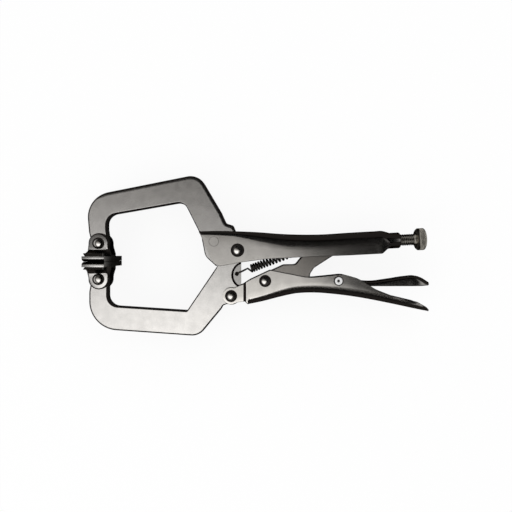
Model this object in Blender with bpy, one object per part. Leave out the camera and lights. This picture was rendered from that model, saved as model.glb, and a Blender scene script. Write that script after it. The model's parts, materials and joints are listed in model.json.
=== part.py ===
"""Locking C-clamp, closed and locked, lying on its side.

The outlines are drawn in the plane of the jaws, X towards the adjusting knob and Y towards the
fixed jaw, with the main pivot at zero. Z is the direction of every rivet. The model then stands
with the centre of its box over the origin and its lowest point at zero height.
"""

import math

import bmesh
import bpy
import numpy as np
from mathutils import Matrix, Vector

MM = 0.001
GAP = 0.3 * MM

# Overall layout
REACH = 112.8 * MM
CONTACT_Y = -9.0 * MM
PAD_RIVET_HEIGHT = 14.6 * MM
PAD_HALF_DEPTH = 25.0 * MM
BOX_CENTRE_X = 16.9 * MM
BOX_CENTRE_Y = -4.7 * MM
PAD_X = -REACH

# Pivots, as places in the plane of the jaws
MAIN_PIVOT = (0.0, 0.0)
FIXED_PAD_PIVOT = (PAD_X, CONTACT_Y + PAD_RIVET_HEIGHT)
MOVING_PAD_PIVOT = (PAD_X, CONTACT_Y - PAD_RIVET_HEIGHT)
HANDLE_PIVOT = (-5.2 * MM, -37.2 * MM)
LINK_PIVOT = (22.4 * MM, -24.9 * MM)
LINK_END = (83.5 * MM, 2.5 * MM)
LEVER_PIVOT = (81.8 * MM, -24.9 * MM)
FLUSH_RIVET = (-19.3 * MM, 7.1 * MM)

# Jaws
JAW_HALF_THICKNESS = 4.7 * MM
JAW_OUTER_EDGE_RADIUS = 3.0 * MM
JAW_HORN_EDGE_RADIUS = 1.4 * MM
JAW_INNER_EDGE_RADIUS = 1.0 * MM
TIP_RADIUS = 7.0 * MM
HEAD_RADIUS = 9.5 * MM
SEAT_CLEARANCE = 0.4 * MM
THROAT_CORNER = (-17.3 * MM, -13.7 * MM)
HEAD_LEFT_ANGLE = 191.5
HEAD_RIGHT_ANGLE = -73.0
SEAT_START_ANGLE = 190.0
SEAT_END_ANGLE = 12.0
BOSS_RADIUS = 7.4 * MM
RECESS_CENTRE = (7.0 * MM, -20.3 * MM)
RECESS_RADIUS = 11.4 * MM
RECESS_DRAFT = 1.6 * MM
WEB_HALF_THICKNESS = 2.0 * MM
SPRING_HOLE = (-0.7 * MM, -19.4 * MM)
SPRING_HOLE_RADIUS = 1.5 * MM

# Folded sheet of the handles and the lever
SHEET = 2.2 * MM
LEVER_SHEET = 1.6 * MM
CHEEK_INNER = JAW_HALF_THICKNESS + GAP
CHEEK_OUTER = CHEEK_INNER + SHEET
JOGGLE = 1.2 * MM
BODY_OUTER = CHEEK_OUTER + JOGGLE
BODY_INNER = BODY_OUTER - SHEET
EAR_RADIUS = 6.9 * MM
LINK_HALF_THICKNESS = CHEEK_INNER - 0.5 * MM
LEVER_HALF_WIDTH = BODY_INNER - 0.5 * MM

# Toggle link
LINK_FRONT_RADIUS = 7.2 * MM
LINK_LOBE_RADIUS = 5.0 * MM
TOGGLE_CLEARANCE = 3.4 * MM

# Adjusting screw
SCREW_AXIS_POINT = (140.0 * MM, 8.6 * MM)
SCREW_TILT = math.radians(2.9)
SCREW_RADIUS = 4.8 * MM
TUBE_RADIUS = 6.5 * MM
SCREW_TIP = LINK_END[0] + LINK_LOBE_RADIUS + TOGGLE_CLEARANCE
TUBE_START = 108.0 * MM
TUBE_LENGTH = 25.3 * MM
TUBE_END = TUBE_START + TUBE_LENGTH
NECK_LENGTH = 13.8 * MM
KNOB_START = TUBE_END + NECK_LENGTH
KNOB_LENGTH = 6.3 * MM
KNOB_RADIUS = 9.1 * MM
KNOB_CHAMFER = 1.4 * MM

# Rivets
MAIN_HEAD_RADIUS = 5.5 * MM
MAIN_SHAFT_RADIUS = 3.3 * MM
PIVOT_HEAD_RADIUS = 4.9 * MM
PIVOT_SHAFT_RADIUS = 3.0 * MM
PAD_HEAD_RADIUS = 4.7 * MM
PAD_SHAFT_RADIUS = 2.8 * MM
FLUSH_HEAD_RADIUS = 3.9 * MM
FLUSH_SHAFT_RADIUS = 2.8 * MM
EYELET_HEAD_RADIUS = 3.9 * MM
EYELET_SHAFT_RADIUS = 2.4 * MM
EYELET_BORE_RADIUS = 1.2 * MM
DOME_HEIGHT_SHARE = 0.5

# Swivel pads
SHOE_HALF_WIDTH = 8.6 * MM
SHOE_SHIFT = 1.3 * MM
SHOE_RIM = 4.2 * MM
SHOE_CHAMFER = 2.0 * MM
RIB_HALF_DEPTH = 17.0 * MM
RIB_HEIGHT = 6.4 * MM
RIB_RIGHT = 6.3 * MM
RIB_ROOT_RADIUS = 2.4 * MM
EAR_SHEET = 2.5 * MM
EAR_HALF_WIDTH = 8.3 * MM
EAR_FLARE = 0.9 * MM

# Return spring
SPRING_START = (11.0 * MM, -15.1 * MM)
SPRING_TILT = math.radians(20.7)
SPRING_LENGTH = 37.4 * MM
SPRING_TURNS = 14
SPRING_RADIUS = 2.65 * MM
WIRE_RADIUS = 0.65 * MM
ANCHOR_REACH = 49.0 * MM
ANCHOR_RADIUS = 1.2 * MM

# How finely round shapes are cut
ARC_STEP = math.radians(14)
ROUND_SIDES = 28


def clear_scene():
    """Empties the scene before the clamp is built."""
    for old in list(bpy.data.objects):
        bpy.data.objects.remove(old, do_unlink=True)


def material(name, colour, roughness, metallic):
    """One plain finish."""
    made = bpy.data.materials.new(name)
    made.use_nodes = True
    shader = made.node_tree.nodes["Principled BSDF"]
    shader.inputs["Base Color"].default_value = (*colour, 1.0)
    shader.inputs["Roughness"].default_value = roughness
    shader.inputs["Metallic"].default_value = metallic
    return made


def pivot_empty(name, place, parent, parent_place=(0.0, 0.0)):
    """An empty on a joint's axis, placed from the axis that carries it."""
    empty = bpy.data.objects.new(name, None)
    empty.empty_display_size = 10 * MM
    bpy.context.collection.objects.link(empty)
    empty.parent = parent
    empty.location = (place[0] - parent_place[0], place[1] - parent_place[1], 0.0)
    return empty


def piece(name, mesh_data, pivot, parent, finish, smooth_angle=30):
    """Adds one piece, drawn about the main pivot, with its origin on its own joint."""
    mesh = bpy.data.meshes.new(name)
    mesh_data.transform(Matrix.Translation((-pivot[0], -pivot[1], 0.0)))
    bmesh.ops.recalc_face_normals(mesh_data, faces=mesh_data.faces)
    mesh_data.to_mesh(mesh)
    mesh_data.free()
    mesh.materials.append(finish)
    mesh.shade_smooth()
    mesh.set_sharp_from_angle(angle=math.radians(smooth_angle))
    made = bpy.data.objects.new(name, mesh)
    bpy.context.collection.objects.link(made)
    made.parent = parent
    return made


def carve(target, mesh_data, pivot, operation="DIFFERENCE"):
    """Cuts, joins or trims a piece by a hidden guide body that moves with it."""
    mesh = bpy.data.meshes.new(target.name + "_guide")
    mesh_data.transform(Matrix.Translation((-pivot[0], -pivot[1], 0.0)))
    bmesh.ops.recalc_face_normals(mesh_data, faces=mesh_data.faces)
    mesh_data.to_mesh(mesh)
    mesh_data.free()
    guide = bpy.data.objects.new(mesh.name, mesh)
    bpy.context.collection.objects.link(guide)
    guide.parent = target.parent
    guide.hide_render = True
    guide.display_type = "WIRE"
    step = target.modifiers.new(operation.lower(), "BOOLEAN")
    step.operation = operation
    step.solver = "EXACT"
    step.object = guide


def arc(centre, radius, start, end):
    """Points on a circle from one angle in degrees to another, both ends included."""
    sweep = math.radians(end - start)
    count = max(2, math.ceil(abs(sweep) / ARC_STEP))
    turn = math.radians(start) + np.linspace(0.0, sweep, count + 1)
    return [(centre[0] + radius * math.cos(a), centre[1] + radius * math.sin(a)) for a in turn]


def rounded(corners):
    """A run of corners (x, y, radius), each rounded by its own radius; the two end ones stay sharp."""
    points = [Vector(c[:2]) for c in corners]
    out = [tuple(points[0])]
    for before, here, after, (_, _, radius) in zip(points, points[1:], points[2:], corners[1:-1]):
        back = (before - here).normalized()
        ahead = (after - here).normalized()
        half = back.angle(ahead) / 2
        if radius <= 0 or abs(half - math.pi / 2) < 1e-4:
            out.append(tuple(here))
            continue
        reach = radius / math.tan(half)
        middle = here + (back + ahead).normalized() * radius / math.sin(half)
        first = here + back * reach - middle
        last = here + ahead * reach - middle
        sweep = math.atan2(first.cross(last), first.dot(last))
        count = max(1, math.ceil(abs(sweep) / ARC_STEP))
        for i in range(count + 1):
            out.append(tuple(middle + Matrix.Rotation(sweep * i / count, 2) @ first))
    out.append(tuple(points[-1]))
    return out


def in_mm(corners):
    """Corners given in millimetres, in metres."""
    return [tuple(value * MM for value in corner) for corner in corners]


def plate(outline, low, high):
    """A flat outline carried from one height to another."""
    shape = bmesh.new()
    bottom = [shape.verts.new((x, y, low)) for x, y in outline]
    top = [shape.verts.new((x, y, high)) for x, y in outline]
    shape.faces.new(bottom[::-1])
    shape.faces.new(top)
    for i in range(len(outline)):
        j = (i + 1) % len(outline)
        shape.faces.new((bottom[i], bottom[j], top[j], top[i]))
    return shape


def softened_plate(chains, half):
    """A plate made of chains of points, each chain with the radius of its own two edges."""
    outline = []
    radii = []
    for points, radius in chains:
        outline += points
        radii += [radius] * len(points)
    shape = plate(outline, -half, half)
    weights = shape.edges.layers.float.new("bevel_weight_edge")
    widest = max(radii)
    count = len(outline)
    shape.verts.ensure_lookup_table()
    for i in range(count):
        j = (i + 1) % count
        for level in (0, count):
            edge = shape.edges.get((shape.verts[level + i], shape.verts[level + j]))
            edge[weights] = radii[i] / widest
    return shape


def soften(target, width):
    """Rounds the weighted edges of a plate."""
    step = target.modifiers.new("edge_radius", "BEVEL")
    step.limit_method = "WEIGHT"
    step.width = width
    step.segments = 2
    step.use_clamp_overlap = True


def turned(profile, sides=ROUND_SIDES):
    """A profile of (radius, height) turned about Z; ends on the axis close to a point."""
    shape = bmesh.new()
    turns = [2 * math.pi * k / sides for k in range(sides)]
    rings = []
    for radius, height in profile:
        if radius == 0:
            rings.append([shape.verts.new((0.0, 0.0, height))] * sides)
        else:
            ring = [shape.verts.new((radius * math.cos(a), radius * math.sin(a), height)) for a in turns]
            rings.append(ring)
    for lower, upper in zip(rings, rings[1:]):
        for k in range(sides):
            m = (k + 1) % sides
            corners = [lower[k], lower[m], upper[m], upper[k]]
            shape.faces.new(list(dict.fromkeys(corners)))
    return shape


def turned_ring(profile, sides=ROUND_SIDES):
    """A closed profile of (radius, height) turned about Z."""
    return turned(profile + profile[:1], sides)


def rod(radius, low, high, sides=ROUND_SIDES):
    """A plain round rod about Z."""
    return turned([(0, low), (radius, low), (radius, high), (0, high)], sides)


def moved(shape, place):
    """Shifts a body in the plane of the jaws."""
    shape.transform(Matrix.Translation((place[0], place[1], 0.0)))
    return shape


def joined(shapes):
    """Several separate bodies in one guide."""
    whole = bmesh.new()
    for shape in shapes:
        mesh = bpy.data.meshes.new("part_of_guide")
        shape.to_mesh(mesh)
        shape.free()
        whole.from_mesh(mesh)
        bpy.data.meshes.remove(mesh)
    return whole


def bores(holes, half):
    """Round cutters along Z at each (place, radius)."""
    return joined([moved(rod(radius, -half, half), place) for place, radius in holes])


def smooth_through(stations, count):
    """Rows of numbers carried smoothly along their first column by cubic curves."""
    table = np.array(stations, dtype=float)
    x = table[:, 0]
    slopes = np.gradient(table, x, axis=0)
    want = np.unique(np.concatenate([np.linspace(x[0], x[-1], count), x]))
    span = np.clip(np.searchsorted(x, want, side="right") - 1, 0, len(x) - 2)
    width = (x[span + 1] - x[span])[:, None]
    t = ((want - x[span]) / width[:, 0])[:, None]
    start = (2 * t**3 - 3 * t**2 + 1) * table[span] + (t**3 - 2 * t**2 + t) * width * slopes[span]
    end = (3 * t**2 - 2 * t**3) * table[span + 1] + (t**3 - t**2) * width * slopes[span + 1]
    return start + end


def folded_section(spine, leg, half_width, radius, sheet, steps=4):
    """One U section as (y, z): the outer skin from leg to leg, then the inner skin back."""
    side = 1.0 if leg > spine else -1.0
    turns = [math.pi / 2 * k / steps for k in range(steps + 1)]
    points = []
    for skin, order in ((0.0, 1), (sheet, -1)):
        width = half_width - skin
        bend = max(radius - skin, 0.2 * MM)
        base = spine + side * skin
        left = [(base + side * bend * (1 - math.sin(a)), -width + bend * (1 - math.cos(a))) for a in turns]
        right = [(y, -z) for y, z in left[::-1]]
        run = [(leg, -width)] + left + right + [(leg, width)]
        points += run[::order]
    return points


def folded_channel(rows, sheet):
    """A sheet folded to a U, its section carried along rows of (x, spine, leg, half width, bend radius)."""
    shape = bmesh.new()
    rings = []
    for x, spine, leg, half_width, radius in rows:
        section = folded_section(spine, leg, half_width, radius, sheet)
        rings.append([shape.verts.new((x, y, z)) for y, z in section])
    shape.faces.new(rings[0])
    shape.faces.new(rings[-1][::-1])
    count = len(rings[0])
    for near, far in zip(rings, rings[1:]):
        for i in range(count):
            j = (i + 1) % count
            shape.faces.new((near[i], near[j], far[j], far[i]))
    return shape


def along_screw(distance, offset=0.0):
    """A point on the screw's axis, measured like X from the main pivot."""
    run = (distance - SCREW_AXIS_POINT[0]) * math.tan(SCREW_TILT)
    return (distance, SCREW_AXIS_POINT[1] + run + offset)


def laid_on_screw(shape):
    """Turns a body drawn along Z on to the screw's axis; its zero is the axis point at X zero."""
    turn = Matrix.Rotation(SCREW_TILT, 4, "Z") @ Matrix.Rotation(math.pi / 2, 4, "Y")
    start = along_screw(0.0)
    shape.transform(Matrix.Translation((start[0], start[1], 0.0)) @ turn)
    return shape


def on_screw(distance):
    """Length along the tilted axis for a distance along X."""
    return distance / math.cos(SCREW_TILT)


def beside_pads(offset, height, radius):
    """A corner given in millimetres, measured along X from the line through the pads' rivets."""
    return (PAD_X + offset * MM, height * MM, radius * MM)


def fixed_jaw_shape():
    """The fixed jaw: tip, throat side, seat round the moving head, then the outer side back."""
    tip = arc(FIXED_PAD_PIVOT, TIP_RADIUS, 180, 360)
    throat = rounded(
        [
            (FIXED_PAD_PIVOT[0] + TIP_RADIUS, FIXED_PAD_PIVOT[1] + 1.0 * MM, 0.0),
            beside_pads(5.5, 17.0, 10.0),
            beside_pads(5.5, 28.5, 9.0),
            *in_mm([(-43.9, 39.6, 8.0), (-29.9, 11.6, 12.0), (-26.6, -5.0, 9.0)]),
            (THROAT_CORNER[0] - SEAT_CLEARANCE, THROAT_CORNER[1] + 0.6 * MM, 0.0),
        ]
    )
    seat = arc(MAIN_PIVOT, HEAD_RADIUS + SEAT_CLEARANCE, SEAT_START_ANGLE, SEAT_END_ANGLE)
    tang = rounded(in_mm([(13.5, 2.2, 0.0), (12.5, 12.0, 1.0), (-1.6, 12.9, 0.0)]))
    horn = rounded(in_mm([(-1.7, 16.0, 0.0), (-3.4, 20.2, 2.0), (-9.6, 21.8, 3.5), (-14.0, 29.3, 0.0)]))
    outer = rounded(
        [
            *in_mm([(-14.4, 30.0, 0.0), (-32.8, 61.2, 13.5)]),
            beside_pads(-10.5, 43.1, 21.0),
            beside_pads(-8.1, 15.0, 6.0),
            beside_pads(-7.0, 7.5, 0.0),
        ]
    )
    chains = [
        (tip, JAW_INNER_EDGE_RADIUS),
        (throat, JAW_INNER_EDGE_RADIUS),
        (seat, 0.0),
        (tang, 0.0),
        (horn, JAW_HORN_EDGE_RADIUS),
        (outer, JAW_OUTER_EDGE_RADIUS),
    ]
    return softened_plate(chains, JAW_HALF_THICKNESS)


def moving_jaw_shape():
    """The moving jaw: round head, throat side, tip, outer side, boss and the straight back edge."""
    head = arc(MAIN_PIVOT, HEAD_RADIUS, HEAD_RIGHT_ANGLE, HEAD_LEFT_ANGLE)
    throat = rounded(
        [
            (*THROAT_CORNER, 0.0),
            *in_mm([(-41.6, -49.6, 1.5)]),
            beside_pads(6.3, -45.4, 9.0),
            beside_pads(6.3, -30.0, 8.0),
            (MOVING_PAD_PIVOT[0] + TIP_RADIUS, MOVING_PAD_PIVOT[1] - 1.0 * MM, 0.0),
        ]
    )
    tip = arc(MOVING_PAD_PIVOT, TIP_RADIUS, 0, 180)
    outer = rounded(
        [
            (MOVING_PAD_PIVOT[0] - TIP_RADIUS, MOVING_PAD_PIVOT[1] - 1.0 * MM, 0.0),
            beside_pads(-7.9, -34.0, 12.0),
            beside_pads(-7.9, -63.3, 24.0),
            *in_mm([(-32.4, -69.5, 13.0), (-14.4, -47.6, 0.0)]),
        ]
    )
    knee = rounded(in_mm([(-14.0, -47.2, 0.0), (-12.2, -45.0, 2.5), (-9.0, -44.2, 0.0)]))
    boss = arc(HANDLE_PIVOT, BOSS_RADIUS, 250, 360)
    back = rounded(in_mm([(2.8, -30.0, 0.0), (2.8, -9.2, 0.0)]))
    chains = [
        (head, 0.0),
        (throat, JAW_INNER_EDGE_RADIUS),
        (tip, JAW_INNER_EDGE_RADIUS),
        (outer, JAW_OUTER_EDGE_RADIUS),
        (knee, JAW_HORN_EDGE_RADIUS),
        (boss, 0.0),
        (back[:1], 0.0),
    ]
    return softened_plate(chains, JAW_HALF_THICKNESS)


def recess_cutters():
    """The half-moon step on each face of the moving jaw, its wall drawn in towards the web."""
    slope = RECESS_DRAFT / (JAW_HALF_THICKNESS - WEB_HALF_THICKNESS)
    high = JAW_HALF_THICKNESS + 1.0 * MM
    floor = RECESS_RADIUS - RECESS_DRAFT
    mouth = RECESS_RADIUS + slope * 1.0 * MM
    cuts = []
    for side in (-1, 1):
        profile = [(0, WEB_HALF_THICKNESS), (floor, WEB_HALF_THICKNESS), (mouth, high), (0, high)]
        placed = [(radius, side * height) for radius, height in profile]
        cuts.append(moved(turned(placed, 48), RECESS_CENTRE))
    return joined(cuts)


def upper_handle_rows():
    """Spine and legs of the upper handle along its length, to its neck over the tube."""
    leg = -30.0
    tube = TUBE_START / MM
    rows = [
        (-36.0, 15.2, leg, CHEEK_OUTER / MM, 2.4),
        (-22.0, 15.7, leg, CHEEK_OUTER / MM, 2.6),
        (-2.0, 15.5, leg, CHEEK_OUTER / MM, 3.0),
        (18.0, 14.7, leg, CHEEK_OUTER / MM, 4.4),
        (34.0, 13.5, leg, CHEEK_OUTER / MM, 5.4),
        (50.0, 12.9, leg, CHEEK_OUTER / MM, 5.9),
        (68.0, 13.0, leg, CHEEK_OUTER / MM, 6.1),
        (92.0, 14.5, leg, CHEEK_OUTER / MM, 6.3),
        (tube + 4.0, 15.6, leg, CHEEK_OUTER / MM, 6.5),
        (tube + 11.0, 15.9, leg, CHEEK_OUTER / MM, 6.5),
        (tube + 16.0, 14.6, leg, CHEEK_OUTER / MM - 0.6, 6.4),
    ]
    return smooth_through(rows, 20) * MM


def upper_handle_side():
    """The cheek's outline from the side; its upper edge stands clear of the spine."""
    tube = TUBE_START / MM
    return rounded(
        in_mm(
            [
                (-32.0, 30.0, 0.0),
                (-31.1, 15.0, 2.0),
                (-24.3, 0.0, 40.0),
                (-18.6, -13.9, 7.5),
                (3.3, -9.8, 60.0),
                (23.7, -7.2, 60.0),
                (60.0, -5.3, 200.0),
                (91.0, -4.2, 100.0),
                (tube + 10.0, -2.8, 2.5),
                (tube + 14.2, 1.0, 1.0),
                (tube + 18.0, 1.6, 0.0),
                (tube + 18.0, 30.0, 0.0),
            ]
        )
    )


def swaged_tube():
    """The threaded tube that the rear of the upper handle is swaged to, before it is bored."""
    front = on_screw(TUBE_START)
    profile = [
        (0, front),
        (TUBE_RADIUS - 0.8 * MM, front),
        (TUBE_RADIUS + 0.4 * MM, front + 2.0 * MM),
        (TUBE_RADIUS + 0.4 * MM, front + 10.0 * MM),
        (TUBE_RADIUS, front + 12.0 * MM),
        (TUBE_RADIUS, on_screw(TUBE_END) - 0.8 * MM),
        (TUBE_RADIUS - 0.8 * MM, on_screw(TUBE_END)),
        (0, on_screw(TUBE_END)),
    ]
    return laid_on_screw(turned(profile))


def lower_handle_rows():
    """Spine and legs of the lower handle along its length, with the step behind its ears."""
    leg = 0.0
    ear = CHEEK_OUTER / MM
    body = BODY_OUTER / MM
    rows = [
        (-14.0, -54.0, leg, ear, 3.2),
        (-2.0, -54.0, leg, ear, 3.2),
        (4.4, -50.0, leg, ear, 3.2),
        (7.4, -44.2, leg, body, 3.2),
        (11.0, -43.5, leg, body, 3.4),
        (22.0, -41.2, leg, body, 3.8),
        (34.0, -38.1, leg, body, 4.0),
        (48.0, -35.2, leg, body, 4.0),
        (62.0, -34.6, leg, body, 4.0),
        (80.0, -35.9, leg, body, 4.0),
        (98.0, -38.3, leg, body, 4.0),
        (124.0, -43.2, leg, body, 3.6),
        (146.0, -47.9, leg, body - 0.6, 3.2),
        (152.6, -49.3, leg, body - 2.4, 2.8),
        (156.2, -50.0, leg, body - 4.2, 2.6),
    ]
    return smooth_through(rows, 26) * MM


def lower_handle_side():
    """The outline of the lower handle's sides; behind the ears its lower edge is left to the fold."""
    ear = arc(HANDLE_PIVOT, EAR_RADIUS, 72, 275)
    edge = rounded(
        in_mm(
            [
                (-4.4, -44.1, 0.0),
                (0.5, -42.2, 5.0),
                (6.0, -41.6, 1.0),
                (9.0, -44.2, 0.0),
                (10.0, -62.0, 0.0),
                (158.0, -62.0, 0.0),
                (156.6, -49.9, 0.0),
                (154.0, -47.4, 3.0),
                (146.0, -43.1, 8.0),
                (118.0, -36.0, 40.0),
                (98.0, -22.9, 24.0),
                (86.0, -19.5, 14.0),
                (58.0, -22.4, 40.0),
                (29.0, -16.6, 3.0),
                (10.0, -24.0, 12.0),
                (4.5, -27.6, 4.0),
                (-2.9, -30.6, 0.0),
            ]
        )
    )
    return ear + edge[1:-1]


def toggle_link_shape():
    """The link: round front end, stepped upper edge, lobe that meets the screw, heel for the lever."""
    front = arc(LINK_PIVOT, LINK_FRONT_RADIUS, 118, 275)
    lower = rounded(
        in_mm(
            [
                (24.0, -31.8, 0.0),
                (44.0, -28.0, 12.0),
                (58.4, -25.2, 1.6),
                (59.6, -19.0, 1.0),
                (62.6, -14.5, 4.0),
                (77.4, -5.0, 6.0),
                (86.0, -1.9, 0.0),
            ]
        )
    )
    lobe = arc(LINK_END, LINK_LOBE_RADIUS, -58, 108)
    upper = rounded(
        in_mm(
            [
                (81.0, 7.0, 0.0),
                (70.0, 2.2, 20.0),
                (54.2, -2.8, 6.0),
                (47.4, -11.4, 3.5),
                (37.6, -11.6, 3.0),
                (20.0, -18.4, 0.0),
            ]
        )
    )
    outline = front + lower[1:-1] + lobe + upper[1:-1]
    return softened_plate([(outline, 0.7 * MM)], LINK_HALF_THICKNESS)


def release_lever_rows():
    """Spine and legs of the release lever along its length."""
    leg = -48.0
    wide = LEVER_HALF_WIDTH / MM
    rows = [
        (58.6, -30.0, leg, wide - 1.2, 1.8),
        (62.0, -29.4, leg, wide, 1.8),
        (67.0, -27.6, leg, wide, 2.0),
        (73.0, -23.2, leg, wide, 2.2),
        (79.0, -20.6, leg, wide, 2.4),
        (86.0, -20.4, leg, wide, 2.4),
        (96.0, -23.8, leg, wide, 2.4),
        (108.0, -25.2, leg, wide, 2.4),
        (124.0, -23.9, leg, wide, 2.4),
        (138.0, -22.0, leg, wide, 2.4),
        (145.0, -21.7, leg, wide, 2.6),
        (151.0, -23.6, leg, wide - 1.0, 2.6),
        (156.7, -27.0, leg, wide - 2.8, 2.4),
    ]
    return smooth_through(rows, 20) * MM


def release_lever_side():
    """The outline of the lever's sides; its upper edge is left to the fold."""
    return rounded(
        in_mm(
            [
                (54.0, -10.0, 0.0),
                (54.0, -31.0, 0.0),
                (72.0, -31.0, 12.0),
                (82.0, -30.6, 10.0),
                (97.0, -31.4, 12.0),
                (109.0, -29.4, 12.0),
                (150.0, -29.3, 20.0),
                (156.4, -28.9, 0.8),
                (158.0, -27.0, 0.0),
                (158.0, -10.0, 0.0),
            ]
        )
    )


def dome_profile(radius, seat):
    """A low dome from its rim on the seat to its crown, as (radius, height)."""
    rise = radius * DOME_HEIGHT_SHARE
    rim = 0.5 * MM
    points = [(radius, seat), (radius, seat + rim)]
    for k in range(1, 5):
        turn = math.pi / 2 * k / 5
        points.append((radius * math.cos(turn), seat + rim + (rise - rim) * math.sin(turn)))
    return points + [(0, seat + rise)]


def domed_rivet(head_radius, shaft_radius, grip):
    """A rivet with the same dome on both sides of what it grips."""
    seat = grip + GAP
    upper = [(shaft_radius, seat)] + dome_profile(head_radius, seat)
    lower = [(radius, -height) for radius, height in upper[::-1]]
    return turned(lower + upper)


def flush_rivet():
    """A rivet whose heads are dressed level with the cheeks."""
    step = JAW_HALF_THICKNESS + GAP
    profile = [
        (0, -CHEEK_OUTER),
        (FLUSH_HEAD_RADIUS, -CHEEK_OUTER),
        (FLUSH_HEAD_RADIUS, -step),
        (FLUSH_SHAFT_RADIUS, -step),
        (FLUSH_SHAFT_RADIUS, step),
        (FLUSH_HEAD_RADIUS, step),
        (FLUSH_HEAD_RADIUS, CHEEK_OUTER),
        (0, CHEEK_OUTER),
    ]
    return turned(profile)


def eyelet_rivet():
    """A hollow rivet with rolled heads."""
    seat = BODY_OUTER + GAP
    roll = 0.9 * MM
    upper = [
        (EYELET_SHAFT_RADIUS, seat),
        (EYELET_HEAD_RADIUS, seat),
        (EYELET_HEAD_RADIUS, seat + roll * 0.4),
        (EYELET_HEAD_RADIUS - 0.8 * MM, seat + roll),
        (EYELET_BORE_RADIUS + 0.8 * MM, seat + roll),
        (EYELET_BORE_RADIUS, seat + roll * 0.3),
    ]
    lower = [(radius, -height) for radius, height in upper[::-1]]
    return turned_ring(lower + upper)


def adjusting_screw_shape():
    """Threaded shank with a chamfered tip, neck, and the knob that is one piece with it."""
    tip = on_screw(SCREW_TIP)
    start = on_screw(KNOB_START)
    end = start + KNOB_LENGTH
    profile = [
        (0, tip),
        (SCREW_RADIUS - 1.0 * MM, tip),
        (SCREW_RADIUS, tip + 1.0 * MM),
        (SCREW_RADIUS, start),
        (KNOB_RADIUS - KNOB_CHAMFER, start),
        (KNOB_RADIUS, start + KNOB_CHAMFER),
        (KNOB_RADIUS, end - 0.8 * MM),
        (KNOB_RADIUS - 0.8 * MM, end),
        (0, end),
    ]
    return laid_on_screw(turned(profile, 40))


def shoe_section():
    """Half of the pad's upper side from its end to the ear, as (z, height above the contact face)."""
    ear_outer = CHEEK_INNER + EAR_SHEET
    return rounded(
        [
            (PAD_HALF_DEPTH, SHOE_RIM, 0.0),
            (RIB_HALF_DEPTH + 1.2 * MM, SHOE_RIM, 0.0),
            (RIB_HALF_DEPTH, RIB_HEIGHT, 0.8 * MM),
            (ear_outer + RIB_ROOT_RADIUS, RIB_HEIGHT + 0.4 * MM, RIB_ROOT_RADIUS),
            (ear_outer, RIB_HEIGHT + 0.4 * MM + RIB_ROOT_RADIUS, 0.0),
            (ear_outer, PAD_RIVET_HEIGHT, 0.0),
        ]
    )


def pad_shape(pivot, side):
    """A swivel pad: a shoe with chamfered working edges and two rounded ears about the rivet."""
    ear_outer = CHEEK_INNER + EAR_SHEET
    top = PAD_RIVET_HEIGHT + EAR_HALF_WIDTH
    half = shoe_section()[:-1] + [(ear_outer, top)]
    chamfer = SHOE_CHAMFER
    floor = GAP / 2
    right = [(PAD_HALF_DEPTH - chamfer, floor), (PAD_HALF_DEPTH, floor + chamfer)] + half
    left = [(-z, height) for z, height in right[::-1]]
    section = right + left
    shape = bmesh.new()
    rings = []
    reach = SHOE_HALF_WIDTH + 1.0 * MM
    for x in (-reach, reach):
        rings.append([shape.verts.new((x, height, z)) for z, height in section])
    shape.faces.new(rings[0])
    shape.faces.new(rings[1][::-1])
    count = len(section)
    for i in range(count):
        j = (i + 1) % count
        shape.faces.new((rings[0][i], rings[0][j], rings[1][j], rings[1][i]))
    return placed_pad(shape, pivot, side)


def placed_pad(shape, pivot, side):
    """Turns a body drawn over the contact face to the fixed (1) or the moving (-1) side."""
    flip = Matrix.Diagonal((1, side, 1, 1))
    shape.transform(Matrix.Translation((pivot[0], CONTACT_Y, 0.0)) @ flip)
    if side < 0:
        bmesh.ops.reverse_faces(shape, faces=shape.faces)
    return shape


def pad_side(pivot, side):
    """The pad's outline from the side: shoe, flared base and the round of the ears."""
    centre = PAD_RIVET_HEIGHT
    left = SHOE_SHIFT - SHOE_HALF_WIDTH
    right = SHOE_SHIFT + SHOE_HALF_WIDTH
    base = rounded(
        [
            (left + SHOE_CHAMFER, -2.0 * MM, 0.0),
            (left + SHOE_CHAMFER, GAP / 2, 0.0),
            (left, SHOE_CHAMFER, 0.0),
            (left, SHOE_RIM, 0.0),
            (-EAR_HALF_WIDTH - EAR_FLARE, RIB_HEIGHT, 1.0 * MM),
            (-EAR_HALF_WIDTH, centre - 1.0 * MM, 0.0),
        ]
    )
    head = arc((0.0, centre), EAR_HALF_WIDTH, 180, 0)
    close = rounded(
        [
            (EAR_HALF_WIDTH, centre - 3.0 * MM, 0.0),
            (right, SHOE_RIM + 2.0 * MM, 3.0 * MM),
            (right, SHOE_CHAMFER, 0.0),
            (right - SHOE_CHAMFER, GAP / 2, 0.0),
            (right - SHOE_CHAMFER, -2.0 * MM, 0.0),
        ]
    )
    reach = PAD_HALF_DEPTH + 5.0 * MM
    return placed_pad(plate(base + head + close, -reach, reach), pivot, side)


def pad_shoulders(pivot, side):
    """What is taken off beside the ribs, so that the shoe's right edge is as low as its rim."""
    ear_outer = CHEEK_INNER + EAR_SHEET
    reach = SHOE_HALF_WIDTH + 5.0 * MM
    top = RIB_HEIGHT + 4.0 * MM
    outline = [(RIB_RIGHT, SHOE_RIM), (reach, SHOE_RIM), (reach, top), (RIB_RIGHT, top)]
    depth = PAD_HALF_DEPTH + 5.0 * MM
    cuts = [plate(outline, ear_outer, depth), plate(outline, -depth, -ear_outer)]
    return placed_pad(joined(cuts), pivot, side)


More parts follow.
